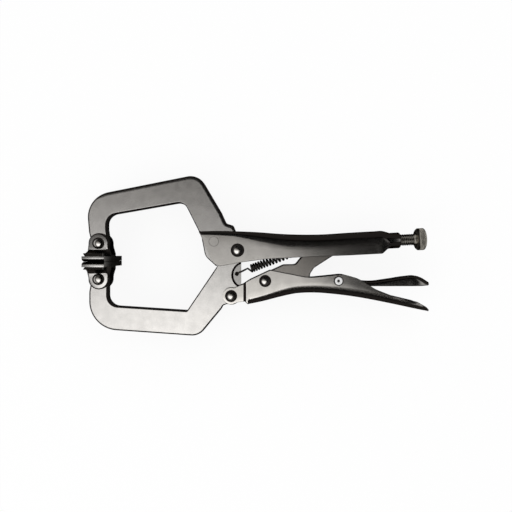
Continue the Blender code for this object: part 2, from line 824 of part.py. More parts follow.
def pad_slot(pivot, side):
    """The slot between the ears that takes the jaw's tip."""
    low = PAD_RIVET_HEIGHT - TIP_RADIUS - 2.4 * MM
    reach = SHOE_HALF_WIDTH + 5.0 * MM
    top = PAD_RIVET_HEIGHT + EAR_HALF_WIDTH + 3.0 * MM
    outline = [(-reach, low), (reach, low), (reach, top), (-reach, top)]
    return placed_pad(plate(outline, -CHEEK_INNER, CHEEK_INNER), pivot, side)


def spring_route():
    """Hook in the jaw, straight lead, coil, straight lead and hook on the anchor pin."""
    along = np.array([math.cos(SPRING_TILT), math.sin(SPRING_TILT), 0.0])
    across = np.array([-math.sin(SPRING_TILT), math.cos(SPRING_TILT), 0.0])
    out = np.array([0.0, 0.0, 1.0])
    start = np.array([*SPRING_START, 0.0])
    hole = np.array([*SPRING_HOLE, 0.0])
    anchor = start + along * ANCHOR_REACH
    loop = (WEB_HALF_THICKNESS + WIRE_RADIUS + 1.5 * GAP) / MM
    hook = [
        (2.0, 1.4, -loop),
        (0.9, 0.6, -loop + 0.1),
        (0.3, 0.2, -loop + 0.5),
        (0.0, 0.0, -loop + 1.2),
        (0.0, 0.0, loop - 1.2),
        (0.3, 0.2, loop - 0.5),
        (0.9, 0.6, loop - 0.1),
        (2.0, 1.1, loop),
        (4.6, 2.3, loop),
        (6.8, 3.4, loop * 0.6),
        (8.8, 4.4, 0.3),
    ]
    points = [tuple(hole + np.array(step) * MM) for step in hook]
    per_turn = 12
    total = SPRING_TURNS * per_turn
    for k in range(total + 1):
        share = k / total
        run = SPRING_LENGTH * (0.84 * share + 0.16 * share**2)
        turn = -math.pi / 2 + 2 * math.pi * SPRING_TURNS * share
        ring = across * math.cos(turn + math.pi / 2) * -1 + out * math.sin(turn + math.pi / 2)
        points.append(tuple(start + along * run + ring * SPRING_RADIUS))
    ring_radius = ANCHOR_RADIUS + WIRE_RADIUS + GAP
    lead = start + along * (SPRING_LENGTH + 3.0 * MM) + across * ring_radius * 0.8
    points.append(tuple(lead))
    for k in range(8):
        turn = math.pi / 2 - math.pi * 0.75 * k / 7
        swing = along * math.cos(turn) + across * math.sin(turn)
        points.append(tuple(anchor + swing * ring_radius))
    return points


def spring_shape():
    """Round wire carried along the spring's route."""
    route = np.array(spring_route())
    tangent = np.gradient(route, axis=0)
    tangent /= np.linalg.norm(tangent, axis=1)[:, None]
    shape = bmesh.new()
    sides = 5
    normal = np.cross(tangent[0], (0.3, 1.0, 0.2))
    rings = []
    for point, forward in zip(route, tangent):
        normal = normal - forward * normal.dot(forward)
        normal /= np.linalg.norm(normal)
        side = np.cross(forward, normal)
        ring = []
        for k in range(sides):
            turn = 2 * math.pi * k / sides
            offset = (normal * math.cos(turn) + side * math.sin(turn)) * WIRE_RADIUS
            ring.append(shape.verts.new(tuple(point + offset)))
        rings.append(ring)
    for near, far in zip(rings, rings[1:]):
        for k in range(sides):
            m = (k + 1) % sides
            shape.faces.new((near[k], near[m], far[m], far[k]))
    shape.faces.new(rings[0][::-1])
    shape.faces.new(rings[-1])
    return shape


def anchor_place():
    """Where the spring's rear hook pulls, on the line of the coil."""
    return (
        SPRING_START[0] + ANCHOR_REACH * math.cos(SPRING_TILT),
        SPRING_START[1] + ANCHOR_REACH * math.sin(SPRING_TILT),
    )


def build():
    """Makes every piece on its own pivot."""
    plated = material("satin_nickel_plate", (0.60, 0.58, 0.55), 0.34, 1.0)
    forged = material("forged_plated_steel", (0.62, 0.61, 0.59), 0.42, 1.0)
    riveted = material("polished_rivet_steel", (0.50, 0.49, 0.47), 0.22, 1.0)
    dark = material("dark_spring_wire", (0.10, 0.10, 0.10), 0.35, 1.0)
    turned_steel = material("turned_plated_steel", (0.45, 0.43, 0.40), 0.38, 1.0)

    clamp = bpy.data.objects.new("clamp", None)
    bpy.context.collection.objects.link(clamp)
    clamp.location = (-BOX_CENTRE_X, -BOX_CENTRE_Y, PAD_HALF_DEPTH)
    jaw_axis = pivot_empty("jaw_axis", MAIN_PIVOT, clamp)
    handle_axis = pivot_empty("handle_axis", HANDLE_PIVOT, jaw_axis, MAIN_PIVOT)
    link_axis = pivot_empty("link_axis", LINK_PIVOT, handle_axis, HANDLE_PIVOT)
    lever_axis = pivot_empty("lever_axis", LEVER_PIVOT, handle_axis, HANDLE_PIVOT)
    screw_axis = pivot_empty("screw_axis", SCREW_AXIS_POINT, clamp)
    fixed_pad_axis = pivot_empty("fixed_pad_axis", FIXED_PAD_PIVOT, clamp)
    moving_pad_axis = pivot_empty("moving_pad_axis", MOVING_PAD_PIVOT, jaw_axis, MAIN_PIVOT)

    through = PAD_HALF_DEPTH

    fixed = piece("fixed_jaw", fixed_jaw_shape(), MAIN_PIVOT, clamp, forged)
    soften(fixed, JAW_OUTER_EDGE_RADIUS)
    holes = [(FIXED_PAD_PIVOT, PAD_SHAFT_RADIUS + GAP), (FLUSH_RIVET, FLUSH_SHAFT_RADIUS + GAP)]
    carve(fixed, bores(holes, through), MAIN_PIVOT)

    moving = piece("moving_jaw", moving_jaw_shape(), MAIN_PIVOT, jaw_axis, forged)
    soften(moving, JAW_OUTER_EDGE_RADIUS)
    carve(moving, recess_cutters(), MAIN_PIVOT)
    holes = [
        (MOVING_PAD_PIVOT, PAD_SHAFT_RADIUS + GAP),
        (MAIN_PIVOT, MAIN_SHAFT_RADIUS + GAP),
        (HANDLE_PIVOT, PIVOT_SHAFT_RADIUS + GAP),
        (SPRING_HOLE, SPRING_HOLE_RADIUS),
    ]
    carve(moving, bores(holes, through), MAIN_PIVOT)

    upper = piece("upper_handle", folded_channel(upper_handle_rows(), SHEET), MAIN_PIVOT, clamp, plated)
    carve(upper, plate(upper_handle_side(), -through, through), MAIN_PIVOT, "INTERSECT")
    slot = [(-40 * MM, 8 * MM), (-1.2 * MM, 8 * MM), (-1.2 * MM, 30 * MM), (-40 * MM, 30 * MM)]
    carve(upper, plate(slot, -CHEEK_INNER, CHEEK_INNER), MAIN_PIVOT)
    carve(upper, swaged_tube(), MAIN_PIVOT, "UNION")
    bore = rod(SCREW_RADIUS + GAP, on_screw(SCREW_TIP), on_screw(TUBE_END) + 4 * MM)
    carve(upper, laid_on_screw(bore), MAIN_PIVOT)
    holes = [(MAIN_PIVOT, MAIN_SHAFT_RADIUS + GAP), (FLUSH_RIVET, FLUSH_HEAD_RADIUS + GAP)]
    carve(upper, bores(holes, through), MAIN_PIVOT)

    lower_shape = folded_channel(lower_handle_rows(), SHEET)
    lower = piece("lower_handle", lower_shape, HANDLE_PIVOT, handle_axis, plated)
    carve(lower, plate(lower_handle_side(), -through, through), HANDLE_PIVOT, "INTERSECT")
    holes = [
        (HANDLE_PIVOT, PIVOT_SHAFT_RADIUS + GAP),
        (LINK_PIVOT, PIVOT_SHAFT_RADIUS + GAP),
        (LEVER_PIVOT, EYELET_SHAFT_RADIUS + GAP),
    ]
    carve(lower, bores(holes, through), HANDLE_PIVOT)

    link = piece("toggle_link", toggle_link_shape(), LINK_PIVOT, link_axis, plated)
    soften(link, 0.7 * MM)
    carve(link, bores([(LINK_PIVOT, PIVOT_SHAFT_RADIUS + GAP)], through), LINK_PIVOT)

    lever_shape = folded_channel(release_lever_rows(), LEVER_SHEET)
    lever = piece("release_lever", lever_shape, LEVER_PIVOT, lever_axis, plated)
    carve(lever, plate(release_lever_side(), -through, through), LEVER_PIVOT, "INTERSECT")
    carve(lever, bores([(LEVER_PIVOT, EYELET_SHAFT_RADIUS + GAP)], through), LEVER_PIVOT)

    screw = adjusting_screw_shape()
    piece("adjusting_screw", screw, SCREW_AXIS_POINT, screw_axis, turned_steel)

    rivets = [
        ("main_pivot_rivet", MAIN_PIVOT, MAIN_HEAD_RADIUS, MAIN_SHAFT_RADIUS, CHEEK_OUTER, clamp),
        ("jaw_handle_rivet", HANDLE_PIVOT, PIVOT_HEAD_RADIUS, PIVOT_SHAFT_RADIUS, CHEEK_OUTER, handle_axis),
        ("toggle_link_rivet", LINK_PIVOT, PIVOT_HEAD_RADIUS, PIVOT_SHAFT_RADIUS, BODY_OUTER, handle_axis),
    ]
    centres = {clamp: MAIN_PIVOT, handle_axis: HANDLE_PIVOT}
    for name, place, head, shaft, grip, carrier in rivets:
        shape = moved(domed_rivet(head, shaft, grip), place)
        piece(name, shape, centres[carrier], carrier, riveted)
    piece("fixed_jaw_rivet", moved(flush_rivet(), FLUSH_RIVET), MAIN_PIVOT, clamp, plated)
    eyelet = moved(eyelet_rivet(), LEVER_PIVOT)
    piece("release_lever_rivet", eyelet, HANDLE_PIVOT, handle_axis, riveted)

    ear_outer = CHEEK_INNER + EAR_SHEET
    pads = [
        ("fixed", FIXED_PAD_PIVOT, 1, fixed_pad_axis, clamp, MAIN_PIVOT),
        ("moving", MOVING_PAD_PIVOT, -1, moving_pad_axis, jaw_axis, MAIN_PIVOT),
    ]
    for name, place, side, axis, carrier, centre in pads:
        pad = piece(name + "_jaw_pad", pad_shape(place, side), place, axis, forged)
        carve(pad, pad_side(place, side), place, "INTERSECT")
        carve(pad, pad_shoulders(place, side), place)
        carve(pad, pad_slot(place, side), place)
        carve(pad, bores([(place, PAD_SHAFT_RADIUS + GAP)], through), place)
        rivet = moved(domed_rivet(PAD_HEAD_RADIUS, PAD_SHAFT_RADIUS, ear_outer), place)
        piece(name + "_pad_rivet", rivet, centre, carrier, riveted)

    piece("return_spring", spring_shape(), MAIN_PIVOT, clamp, dark)
    pin = moved(rod(ANCHOR_RADIUS, -CHEEK_INNER + GAP, CHEEK_INNER - GAP, 16), anchor_place())
    piece("spring_anchor_pin", pin, MAIN_PIVOT, clamp, riveted)


clear_scene()
build()
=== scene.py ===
"""Looks of a locking C-clamp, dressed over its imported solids.

Every outline is drawn in millimetres in the plane of the jaws, with the main pivot at zero, X towards
the adjusting knob, Y towards the fixed jaw and Z along the rivets.
"""

import json
import math

import bmesh
import bpy
import numpy as np
from bpy.props import FloatProperty, FloatVectorProperty, PointerProperty
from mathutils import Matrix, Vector


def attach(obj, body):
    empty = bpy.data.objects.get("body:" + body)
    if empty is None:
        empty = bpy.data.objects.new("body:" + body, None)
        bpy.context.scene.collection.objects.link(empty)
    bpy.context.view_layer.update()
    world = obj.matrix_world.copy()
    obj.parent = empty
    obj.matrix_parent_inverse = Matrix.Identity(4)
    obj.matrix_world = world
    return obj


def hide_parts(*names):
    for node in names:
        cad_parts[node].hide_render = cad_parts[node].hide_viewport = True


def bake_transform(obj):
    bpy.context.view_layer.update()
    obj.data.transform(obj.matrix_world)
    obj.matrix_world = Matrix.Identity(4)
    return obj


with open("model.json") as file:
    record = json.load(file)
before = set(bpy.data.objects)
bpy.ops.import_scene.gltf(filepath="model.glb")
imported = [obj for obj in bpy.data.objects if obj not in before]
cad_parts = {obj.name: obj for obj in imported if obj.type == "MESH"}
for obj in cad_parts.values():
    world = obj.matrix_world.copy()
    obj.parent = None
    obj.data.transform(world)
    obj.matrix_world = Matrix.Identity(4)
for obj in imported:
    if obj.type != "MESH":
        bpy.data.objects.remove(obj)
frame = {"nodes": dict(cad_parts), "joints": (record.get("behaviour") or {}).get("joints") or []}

bl_info = {
    "name": "Locking C-clamp",
    "version": (1, 0, 0),
    "blender": (4, 5, 0),
    "location": "3D View > Sidebar > Clamp",
    "description": "Builds the plated steel pieces of a locking C-clamp round its solids",
    "category": "Add Mesh",
}

MM = 0.001
PLACE = {joint["name"]: np.array(joint["pos_m"]) / MM for joint in frame["joints"]}
ORIGIN = PLACE["jaw_hinge"]
MAIN = np.zeros(2)
HANDLE, LINK, LEVER, FIXED_PAD, MOVING_PAD, SCREW = (
    (PLACE[name] - ORIGIN)[:2]
    for name in (
        "handle_hinge", "link_hinge", "lever_hinge", "fixed_pad_swivel", "moving_pad_swivel", "screw_turn",
    )
)

# Tilts of the screw and of the spring, and the middles of the flush rivet, the spring's hole in the moving
# arm and the rear lobe of the link
SCREW_TILT = math.radians(2.9)
SPRING_TILT = math.radians(20.7)
FLUSH = np.array((-19.3, 7.1))
SPRING_HOLE = np.array((-0.7, -19.4))
LINK_END = (83.5, 2.5)

# The height in which the pads meet, the distances of faces from the middle plane, and radii
CONTACT = -9.0
JAW_HALF = 4.7
CHEEK_INNER = 5.0
CHEEK_OUTER = 7.2
BODY_OUTER = 8.4
PAD_HALF_DEPTH = 25.0
ARM_TIP = 7.0
LEVER_BORE = 2.7
SHANK = 4.8
KNOB = 9.1

# The half-moon recess of the moving arm: centre, radius at the face, draft down to the floor, half the
# thickness left there, and the least mark of lean that its floor carries, which paints shade on that floor
RECESS = (6.2, -20.4)
RECESS_RADIUS = 11.4
RECESS_DRAFT = 1.6
RECESS_HALF = 2.0
RECESS_PAINTED_SHADE = 0.0165

# A plate's skin stands this far inside its outline, and one ring on each face this much further in
PLATE_INSET = 0.08
FACE_INSET = 0.15

# Light of the softbox as metal sees it: by how far its direction leans to the back, and by how far it
# leans to the back right and to the front right, where two dark screens cut it off
SOFTBOX_BACK = (
    (-0.3, 1.0), (-0.14, 0.85), (-0.06, 0.55), (0.0, 0.37), (0.08, 0.24), (0.15, 0.15), (0.3, 0.06),
)
BACK_SCREEN = (
    (-0.45, 1.1), (-0.25, 1.3), (-0.17, 1.0), (-0.1, 0.85), (-0.03, 0.95), (0.03, 1.12), (0.06, 0.95),
    (0.09, 0.1), (0.13, 0.01),
)
FRONT_SCREEN = ((0.21, 1.0), (0.25, 0.4), (0.29, 0.02))
BACK_SLANT = 1.08
FRONT_SLANT = 0.55

# Leans from straight up, as a tangent, at which the softbox starts and is whole, and the same for the
# walls; then the levels of the ceiling, the softbox, the walls, and of the plain light on all but metal
SOFTBOX_EDGE = (0.7, 0.42)
WALL_EDGE = (0.75, 1.1)
CEILING_LEVEL = 0.015
SOFTBOX_LEVEL = 1.5
WALL_LEVEL = 0.75
PLAIN_LEVEL = 0.85

# The share of plain glow in the floor as the camera sees it, and how much of that glow metal misses close
# to the floor, between two distances in metres: a painted shadow of the clamp as metal sees the floor
FLOOR_GLOW = 0.88
FLOOR_SHADE = 0.98
FLOOR_SHADE_REACH = (0.03, 0.12)

# The photograph's width, focal length and shift in pixels, and where the camera stands in metres
PHOTO_PX = 512
FOCAL_PX = 478
SHIFT_PX = -4
CAMERA_PLACE = (-0.0019, 0.00324, 0.420)


def linear(code):
    """An sRGB hex colour as the linear colour that the shaders work in."""
    parts = np.array([int(code[i : i + 2], 16) for i in (1, 3, 5)]) / 255
    return tuple(np.where(parts <= 0.04045, parts / 12.92, ((parts + 0.055) / 1.055) ** 2.4))


def length(name, value, note):
    """A size in millimetres that the sidebar shows as a length."""
    return FloatProperty(name=name, description=note, default=value * MM, min=0.0, precision=5, unit="LENGTH")


def colour(name, code, note):
    """A colour that the sidebar shows as a swatch."""
    shown = linear(code)
    return FloatVectorProperty(name=name, description=note, default=shown, subtype="COLOR", min=0, max=1)


class ClampSizes(bpy.types.PropertyGroup):
    """Sizes that change the look of the clamp without changing its solids."""

    outer_round: length("Arm outer edge", 3.0, "Radius of the arms' edges along their outer side")
    front_round: length("Arm front edge", 1.5, "Radius of the edges round the front and along the lower arm")
    inner_round: length("Arm inner edge", 1.0, "Radius of the arms' edges along the throat")
    sheet: length("Handle sheet", 2.2, "Thickness of the folded handle sheet")
    lever_sheet: length("Lever sheet", 1.6, "Thickness of the folded lever sheet")
    thread_pitch: length("Thread pitch", 1.5, "Pitch of the adjusting screw's thread")
    thread_depth: length("Thread depth", 0.8, "Depth of the adjusting screw's thread")
    knurl_pitch: length("Knurl pitch", 1.6, "Distance between the diamonds of the knob's knurl")
    knurl_depth: length("Knurl depth", 0.55, "Depth of the knob's knurl")
    wire: length("Spring wire", 1.55, "Diameter of the return spring's wire")
    pad_edge: length("Pad edge", 0.25, "Radius of the swivel pads' edges")


class ClampColours(bpy.types.PropertyGroup):
    """Colours of the clamp's finishes and of the stage."""

    sheet: colour("Plated sheet", "#dad6d0", "Satin nickel on the folded handles")
    forging: colour("Plated forging", "#dedbd7", "Satin nickel on the forged arms and pads")
    link: colour("Link steel", "#a39e98", "Duller plate on the toggle link")
    # Painted shade: edges, folds and side faces are darkened towards this colour by how far they lean,
    # standing in for the dark reflections and shade round them; the plate itself is no darker there
    shade: colour("Side faces", "#24211f", "Darker plate in the folds and round the edges")
    rivet: colour("Rivet steel", "#e6e2dc", "Polished heads of the rivets")
    zinc: colour("Eyelet zinc", "#ffffff", "Bright zinc on the hollow rivet")
    turned: colour("Turned steel", "#b3aea4", "Turned screw and knob")
    wire: colour("Spring wire", "#4a4744", "Dark drawn spring wire")
    floor: colour("Floor", "#fafafa", "Pale plain floor")


def size(name):
    """A size of the sidebar in millimetres."""
    return getattr(bpy.context.scene.clamp_sizes, name) / MM


def arc(centre, radius, start, end, step=4.0):
    """Points on a circle from one angle in degrees to another, both ends included."""
    turn = np.radians(np.linspace(start, end, max(2, math.ceil(abs(end - start) / step)) + 1))
    return np.column_stack((centre[0] + radius * np.cos(turn), centre[1] + radius * np.sin(turn)))


def rounded(corners, step=5.0):
    """A run of corners (x, y, radius) with each corner replaced by an arc that touches both its sides."""
    corners = np.array(corners, float)
    runs = [corners[:1, :2]]
    for before, here, after in zip(corners, corners[1:], corners[2:]):
        back = (before - here)[:2] / np.linalg.norm((before - here)[:2])
        ahead = (after - here)[:2] / np.linalg.norm((after - here)[:2])
        half = math.acos(np.clip(back @ ahead, -1, 1)) / 2
        if here[2] <= 0 or half > 1.57:
            runs.append(here[None, :2])
            continue
        middle = here[:2] + (back + ahead) / np.linalg.norm(back + ahead) * here[2] / math.sin(half)
        first = here[:2] + back * here[2] / math.tan(half) - middle
        sweep = math.copysign(math.pi - 2 * half, back[1] * ahead[0] - back[0] * ahead[1])
        turn = np.linspace(0, sweep, max(2, math.ceil(abs(math.degrees(sweep)) / step) + 1))
        spun_x = first[0] * np.cos(turn) - first[1] * np.sin(turn)
        spun_y = first[0] * np.sin(turn) + first[1] * np.cos(turn)
        runs.append(middle + np.column_stack((spun_x, spun_y)))
    runs.append(corners[-1:, :2])
    return np.vstack(runs)


def smooth_through(stations, want):
    """Rows of numbers carried along their first column by cubic curves with matched slopes."""
    table = np.array(stations, float)
    x = table[:, 0]
    slopes = np.gradient(table, x, axis=0)
    span = np.clip(np.searchsorted(x, want, side="right") - 1, 0, len(x) - 2)
    width = (x[span + 1] - x[span])[:, None]
    t = (want - x[span])[:, None] / width
    start = (2 * t**3 - 3 * t**2 + 1) * table[span] + (t**3 - 2 * t**2 + t) * width * slopes[span]
    end = (3 * t**2 - 2 * t**3) * table[span + 1] + (t**3 - t**2) * width * slopes[span + 1]
    return start + end


def quads(rows, columns, wrap=True):
    """Faces of a grid of points, numbered row by row; wrap closes each row on itself."""
    ids = np.arange(rows * columns).reshape(rows, columns)
    ahead = np.roll(ids, -1, 1) if wrap else ids[:, 1:]
    here = ids if wrap else ids[:, :-1]
    return np.stack((here[:-1], here[1:], ahead[1:], ahead[:-1]), -1).reshape(-1, 4)


def surface(name, points, faces, angle=32):
    """A closed mesh from points in millimetres, with coincident points joined and sharp edges kept."""
    mesh = bpy.data.meshes.new(name)
    mesh.from_pydata(((points + ORIGIN) * MM).tolist(), [], faces)
    return finished(mesh, angle)


def finished(mesh, angle=32):
    """Joins coincident points, drops what that flattens, and marks where the shading breaks."""
    work = bmesh.new()
    work.from_mesh(mesh)
    bmesh.ops.remove_doubles(work, verts=work.verts, dist=2e-6)
    bmesh.ops.dissolve_degenerate(work, edges=work.edges, dist=1e-6)
    work.to_mesh(mesh)
    work.free()
    mesh.shade_smooth()
    mesh.set_sharp_from_angle(angle=math.radians(angle))
    return mesh


def grid_body(name, grid):
    """A tube-like grid (ring, point, xyz), closed at both ends by flat faces."""
    rings, count = grid.shape[:2]
    faces = quads(rings, count).tolist()
    faces.append(list(range(count))[::-1])
    faces.append(list(range((rings - 1) * count, rings * count)))
    return surface(name, grid.reshape(-1, 3), faces)


def eased_radii(outline, radii, blend, longest=1.5):
    """The outline with its runs cut to the longest allowed, and its edge radii eased along it."""
    ahead = np.roll(outline, -1, 0)
    gap = np.linalg.norm(ahead - outline, axis=1)
    cuts = np.maximum(1, np.ceil(gap / longest)).astype(int)
    own = np.repeat(np.arange(len(outline)), cuts)
    share = np.concatenate([np.arange(count) / count for count in cuts])[:, None]
    outline = outline[own] * (1 - share) + ahead[own] * share
    radii = radii[own]
    gap = np.linalg.norm(np.roll(outline, -1, 0) - outline, axis=1)
    along = np.concatenate(([0], np.cumsum(gap)))
    apart = np.abs(along[:-1, None] - along[None, :-1])
    apart = np.minimum(apart, along[-1] - apart)
    weight = np.exp(-((apart / blend) ** 2)) * gap
    return outline, weight @ radii / weight.sum(1)


def rounded_plate(name, chains, half, steps=6, blend=0.0):
    """A plate whose edge profile, a quarter circle on each face, is carried round its outline.

    chains are (points, edge radius). The profile is inset by radius * (1 - sin) and falls by
    depth * (1 - cos) from the face, where depth is the radius, or 1 + radius / 5 for large ones.
    Where two chains meet, the radius goes from one to the other as a mean along the outline, weighted
    by exp(-(distance / blend)^2).
    """
    outline = np.vstack([points for points, _ in chains])
    radii = np.concatenate([np.full(len(points), radius) for points, radius in chains])
    keep = np.linalg.norm(outline - np.roll(outline, 1, 0), axis=1) > 0.02
    outline, radii = outline[keep], radii[keep]
    if blend:
        outline, radii = eased_radii(outline, radii, blend)
    ahead = np.roll(outline, -1, 0) - outline
    ahead /= np.linalg.norm(ahead, axis=1)[:, None]
    inward = np.column_stack((-ahead[:, 1], ahead[:, 0]))
    miter = inward + np.roll(inward, 1, 0)
    miter /= np.linalg.norm(miter, axis=1)[:, None]
    miter /= np.clip((miter * inward).sum(1), 0.6, 1)[:, None]
    turn = np.linspace(0, math.pi / 2, steps + 1)
    inset = np.concatenate(([1.0], 1 - np.sin(turn)))
    fall = np.concatenate(([0.0], 1 - np.cos(turn)))
    inset = np.concatenate((inset, inset[::-1]))[:, None] * radii
    inset += PLATE_INSET
    inset[[0, -1]] += FACE_INSET
    height = half - np.concatenate((fall, fall[::-1]))[:, None] * np.minimum(radii, 1 + radii / 5)
    height[len(height) // 2 :] *= -1
    plan = outline[None] + miter[None] * inset[..., None]
    grid = np.concatenate((plan, height[..., None]), 2)
    rings, count = grid.shape[:2]
    faces = quads(rings, count).tolist()
    faces.append(list(range(count)))
    faces.append(list(range((rings - 1) * count, rings * count))[::-1])
    return surface(name, grid.reshape(-1, 3), faces)


def prism(name, outline, low, high, axis=2):
    """An outline carried straight from low to high along one axis (0 for X, 2 for Z)."""
    outline = np.array(outline, float)
    ends = []
    for level in (low, high):
        fill = np.full(len(outline), float(level))
        order = (fill, outline[:, 0], outline[:, 1]) if axis == 0 else (outline[:, 0], outline[:, 1], fill)
        ends.append(np.column_stack(order))
    return turned_out(grid_body(name, np.stack(ends)))


def turned_out(mesh):
    """Points every face of a closed mesh outwards."""
    work = bmesh.new()
    work.from_mesh(mesh)
    bmesh.ops.recalc_face_normals(work, faces=work.faces)
    work.to_mesh(mesh)
    work.free()
    return mesh


def revolved(name, profile, sides=64, place=(0, 0)):
    """A profile (radius, height) turned about Z: x = radius * cos, y = radius * sin."""
    profile = np.array(profile, float)
    turn = np.linspace(0, 2 * math.pi, sides, endpoint=False)
    grid = np.empty((len(profile), sides, 3))
    grid[..., 0] = profile[:, :1] * np.cos(turn) + place[0]
    grid[..., 1] = profile[:, :1] * np.sin(turn) + place[1]
    grid[..., 2] = profile[:, 1:]
    return turned_out(surface(name, grid.reshape(-1, 3), quads(len(profile), sides).tolist()))


def axes_at(tilt):
    """Directions along and across a line tilted in the plane of the jaws, and out of that plane."""
    along = np.array((math.cos(tilt), math.sin(tilt), 0))
    return along, np.array((-along[1], along[0], 0)), np.array((0, 0, 1.0))


def spun_on_screw(name, parts, sides, angle=32):
    """Rings turned about the screw's tilted axis, from its pivot on.

    A part is one ring (radius, height), or many whose radii are given point by point. Across the axis
    x = radius * cos and y = radius * sin, and along it z = height.
    """
    radius = np.vstack([np.broadcast_to(part, (np.size(level), sides)) for part, level in parts])
    height = np.concatenate([np.ravel(level) for _, level in parts])
    spin = np.linspace(0, 2 * math.pi, sides, endpoint=False)
    grid = np.stack((radius * np.cos(spin), radius * np.sin(spin), height[:, None] + 0 * radius), 2)
    along, across, out = axes_at(SCREW_TILT)
    points = np.array((*SCREW, 0.0)) + grid[..., 2:] * along + grid[..., :1] * across + grid[..., 1:2] * out
    return turned_out(surface(name, points.reshape(-1, 3), quads(len(radius), sides).tolist(), angle))


def carved(mesh, steps, bevel=0.0):
    """The mesh after cutting, joining or trimming it by other closed meshes, with its edges eased."""
    whole = bpy.data.objects.new("work", mesh)
    bpy.context.collection.objects.link(whole)
    tools = []
    for operation, tool_mesh in steps:
        tool = bpy.data.objects.new("tool", tool_mesh)
        bpy.context.collection.objects.link(tool)
        step = whole.modifiers.new(operation, "BOOLEAN")
        step.operation = operation
        step.solver = "EXACT"
        step.object = tool
        tools.append(tool)
    if bevel:
        ease = whole.modifiers.new("ease", "BEVEL")
        ease.width = bevel
        ease.segments = 3
        ease.limit_method = "ANGLE"
        ease.angle_limit = math.radians(35)
        ease.harden_normals = False
    result = bpy.data.meshes.new_from_object(whole.evaluated_get(bpy.context.evaluated_depsgraph_get()))
    for done in tools + [whole]:
        bpy.data.objects.remove(done, do_unlink=True)
    return finished(result)


def bore(radius, half, place, sides):
    """A step for carved(): a round hole along Z, half its length to each side of the middle plane."""
    profile = [(0, -half), (radius, -half), (radius, half), (0, half)]
    return "DIFFERENCE", revolved("bore", profile, sides, place)


def half_width_shell(name, rows, sheet, bend_steps=12):
    """A sheet folded to a channel, its section carried along X.

    rows are (x, spine, leg, half width, bend radius, inner z, bend reach). Each half of the section
    runs up the outer skin, round a quarter of an ellipse (bend radius across, bend reach down the
    side) to the spine, across to inner z, back under the spine by the sheet's thickness and down the
    inner skin. Inner z is zero where the spine is whole and the cheek's inner face where a slot cuts
    it. The other half is its mirror image.
    """
    x, spine, leg, width, bend, inner, reach = (column[:, None] for column in np.array(rows, float).T)
    side = np.sign(leg[len(leg) // 2] - spine[len(leg) // 2])
    tall = np.abs(leg - spine)
    bend = np.minimum(bend, tall * 0.9)
    reach = np.clip(reach, bend, tall * 0.9)
    inside = np.maximum(bend - sheet, 0.25)
    ease = np.minimum(0.35, tall * 0.08)
    turn = np.linspace(0, math.pi / 2, bend_steps + 1)
    flat = np.linspace(1, 0, 4)
    drop = reach * (1 - np.sin(turn))
    shift = width - bend * (1 - np.cos(turn))
    outer_h = np.concatenate((reach + (tall - ease - reach) * flat, drop[:, 1:]), 1)
    outer_z = np.concatenate((width + 0 * flat, shift[:, 1:]), 1)
    inner_h = sheet + inside * (1 - np.sin(turn[::-1]))
    inner_z = width - sheet - inside * (1 - np.cos(turn[::-1]))
    one = np.ones_like(x)
    lip = np.linspace(-math.pi / 2, math.pi / 2, 7)[1:-1]
    h = np.concatenate(
        (outer_h, one * 0, one * sheet, inner_h, tall - ease, tall - ease + ease * np.cos(lip)), 1
    )
    z = np.concatenate(
        (outer_z, inner, inner, inner_z, width - sheet, width - sheet / 2 + sheet / 2 * np.sin(lip)), 1
    )
    h = np.minimum(h, tall)
    z = np.maximum(z, inner)
    half = np.stack((x + 0 * h, spine + side * h, z), 2)
    stations, count = half.shape[:2]
    mirrored = half * np.array((1, 1, -1))
    points = np.concatenate((half.reshape(-1, 3), mirrored.reshape(-1, 3)))
    faces = quads(stations, count)
    caps = np.array([np.arange(count)[::-1], np.arange(count) + (stations - 1) * count])
    offset = stations * count
    every = [faces, faces[:, ::-1] + offset]
    ends = [caps, caps[:, ::-1] + offset]
    on_wall = [np.all(np.abs(points[group][..., 2]) < 1e-6, axis=1) for group in every]
    listed = [face for group, wall in zip(every, on_wall) for face in group[~wall].tolist()]
    listed += [face for group in ends for face in group.tolist()]
    return turned_out(surface(name, points, listed))


def channel(name, rows, leg, slot, reach, sheet, hole):
    """A folded channel with a hole, from rows (x, spine, half width, bend radius) and what goes with each."""
    table = np.column_stack((rows[:, :2], leg, rows[:, 2:], slot, reach))
    return carved(half_width_shell(name, table, sheet), [hole])


def stations_of(outline, low, high, step):
    """X places along a piece: even steps plus every point of its side outline."""
    even = np.arange(low, high, step)
    own = outline[(outline[:, 0] > low) & (outline[:, 0] < high), 0]
    return np.unique(np.round(np.concatenate((even, own, [low, high])), 3))


def along_path(path, radius, sides=10):
    """Round wire of one radius carried along a path of points, its section turned as little as possible."""
    ahead = np.gradient(path, axis=0)
    ahead /= np.linalg.norm(ahead, axis=1)[:, None]
    normals = np.empty_like(path)
    normal = np.cross(ahead[0], (0.3, 1.0, 0.2))
    for i, forward in enumerate(ahead):
        normal = normal - forward * (normal @ forward)
        normal = normal / np.linalg.norm(normal)
        normals[i] = normal
    across = np.cross(ahead, normals)
    turn = np.linspace(0, 2 * math.pi, sides, endpoint=False)[None, :, None]
    ring = normals[:, None] * np.cos(turn) + across[:, None] * np.sin(turn)
    return path[:, None] + ring * radius


def show_sides(mesh, painted_shade_at=None):
    """Marks on every corner how far its surface turns away from the face of the clamp: 1 - |normal z|.

    The finishes paint shade by these marks. The function passed in gives a least mark for points in
    millimetres, such as those down in a recess, where more shade is painted.
    """
    normals = np.empty(len(mesh.loops) * 3, np.float32)
    mesh.corner_normals.foreach_get("vector", normals)
    owners = np.empty(len(mesh.loops), np.int32)
    mesh.loops.foreach_get("vertex_index", owners)
    places = np.empty(len(mesh.vertices) * 3, np.float32)
    mesh.vertices.foreach_get("co", places)
    value = 1 - np.abs(normals.reshape(-1, 3)[:, 2])
    if painted_shade_at:
        value = np.maximum(value, painted_shade_at(places.reshape(-1, 3)[owners] / MM - ORIGIN))
    mark = mesh.attributes.new("aside", "FLOAT", "CORNER")
    mark.data.foreach_set("value", value)


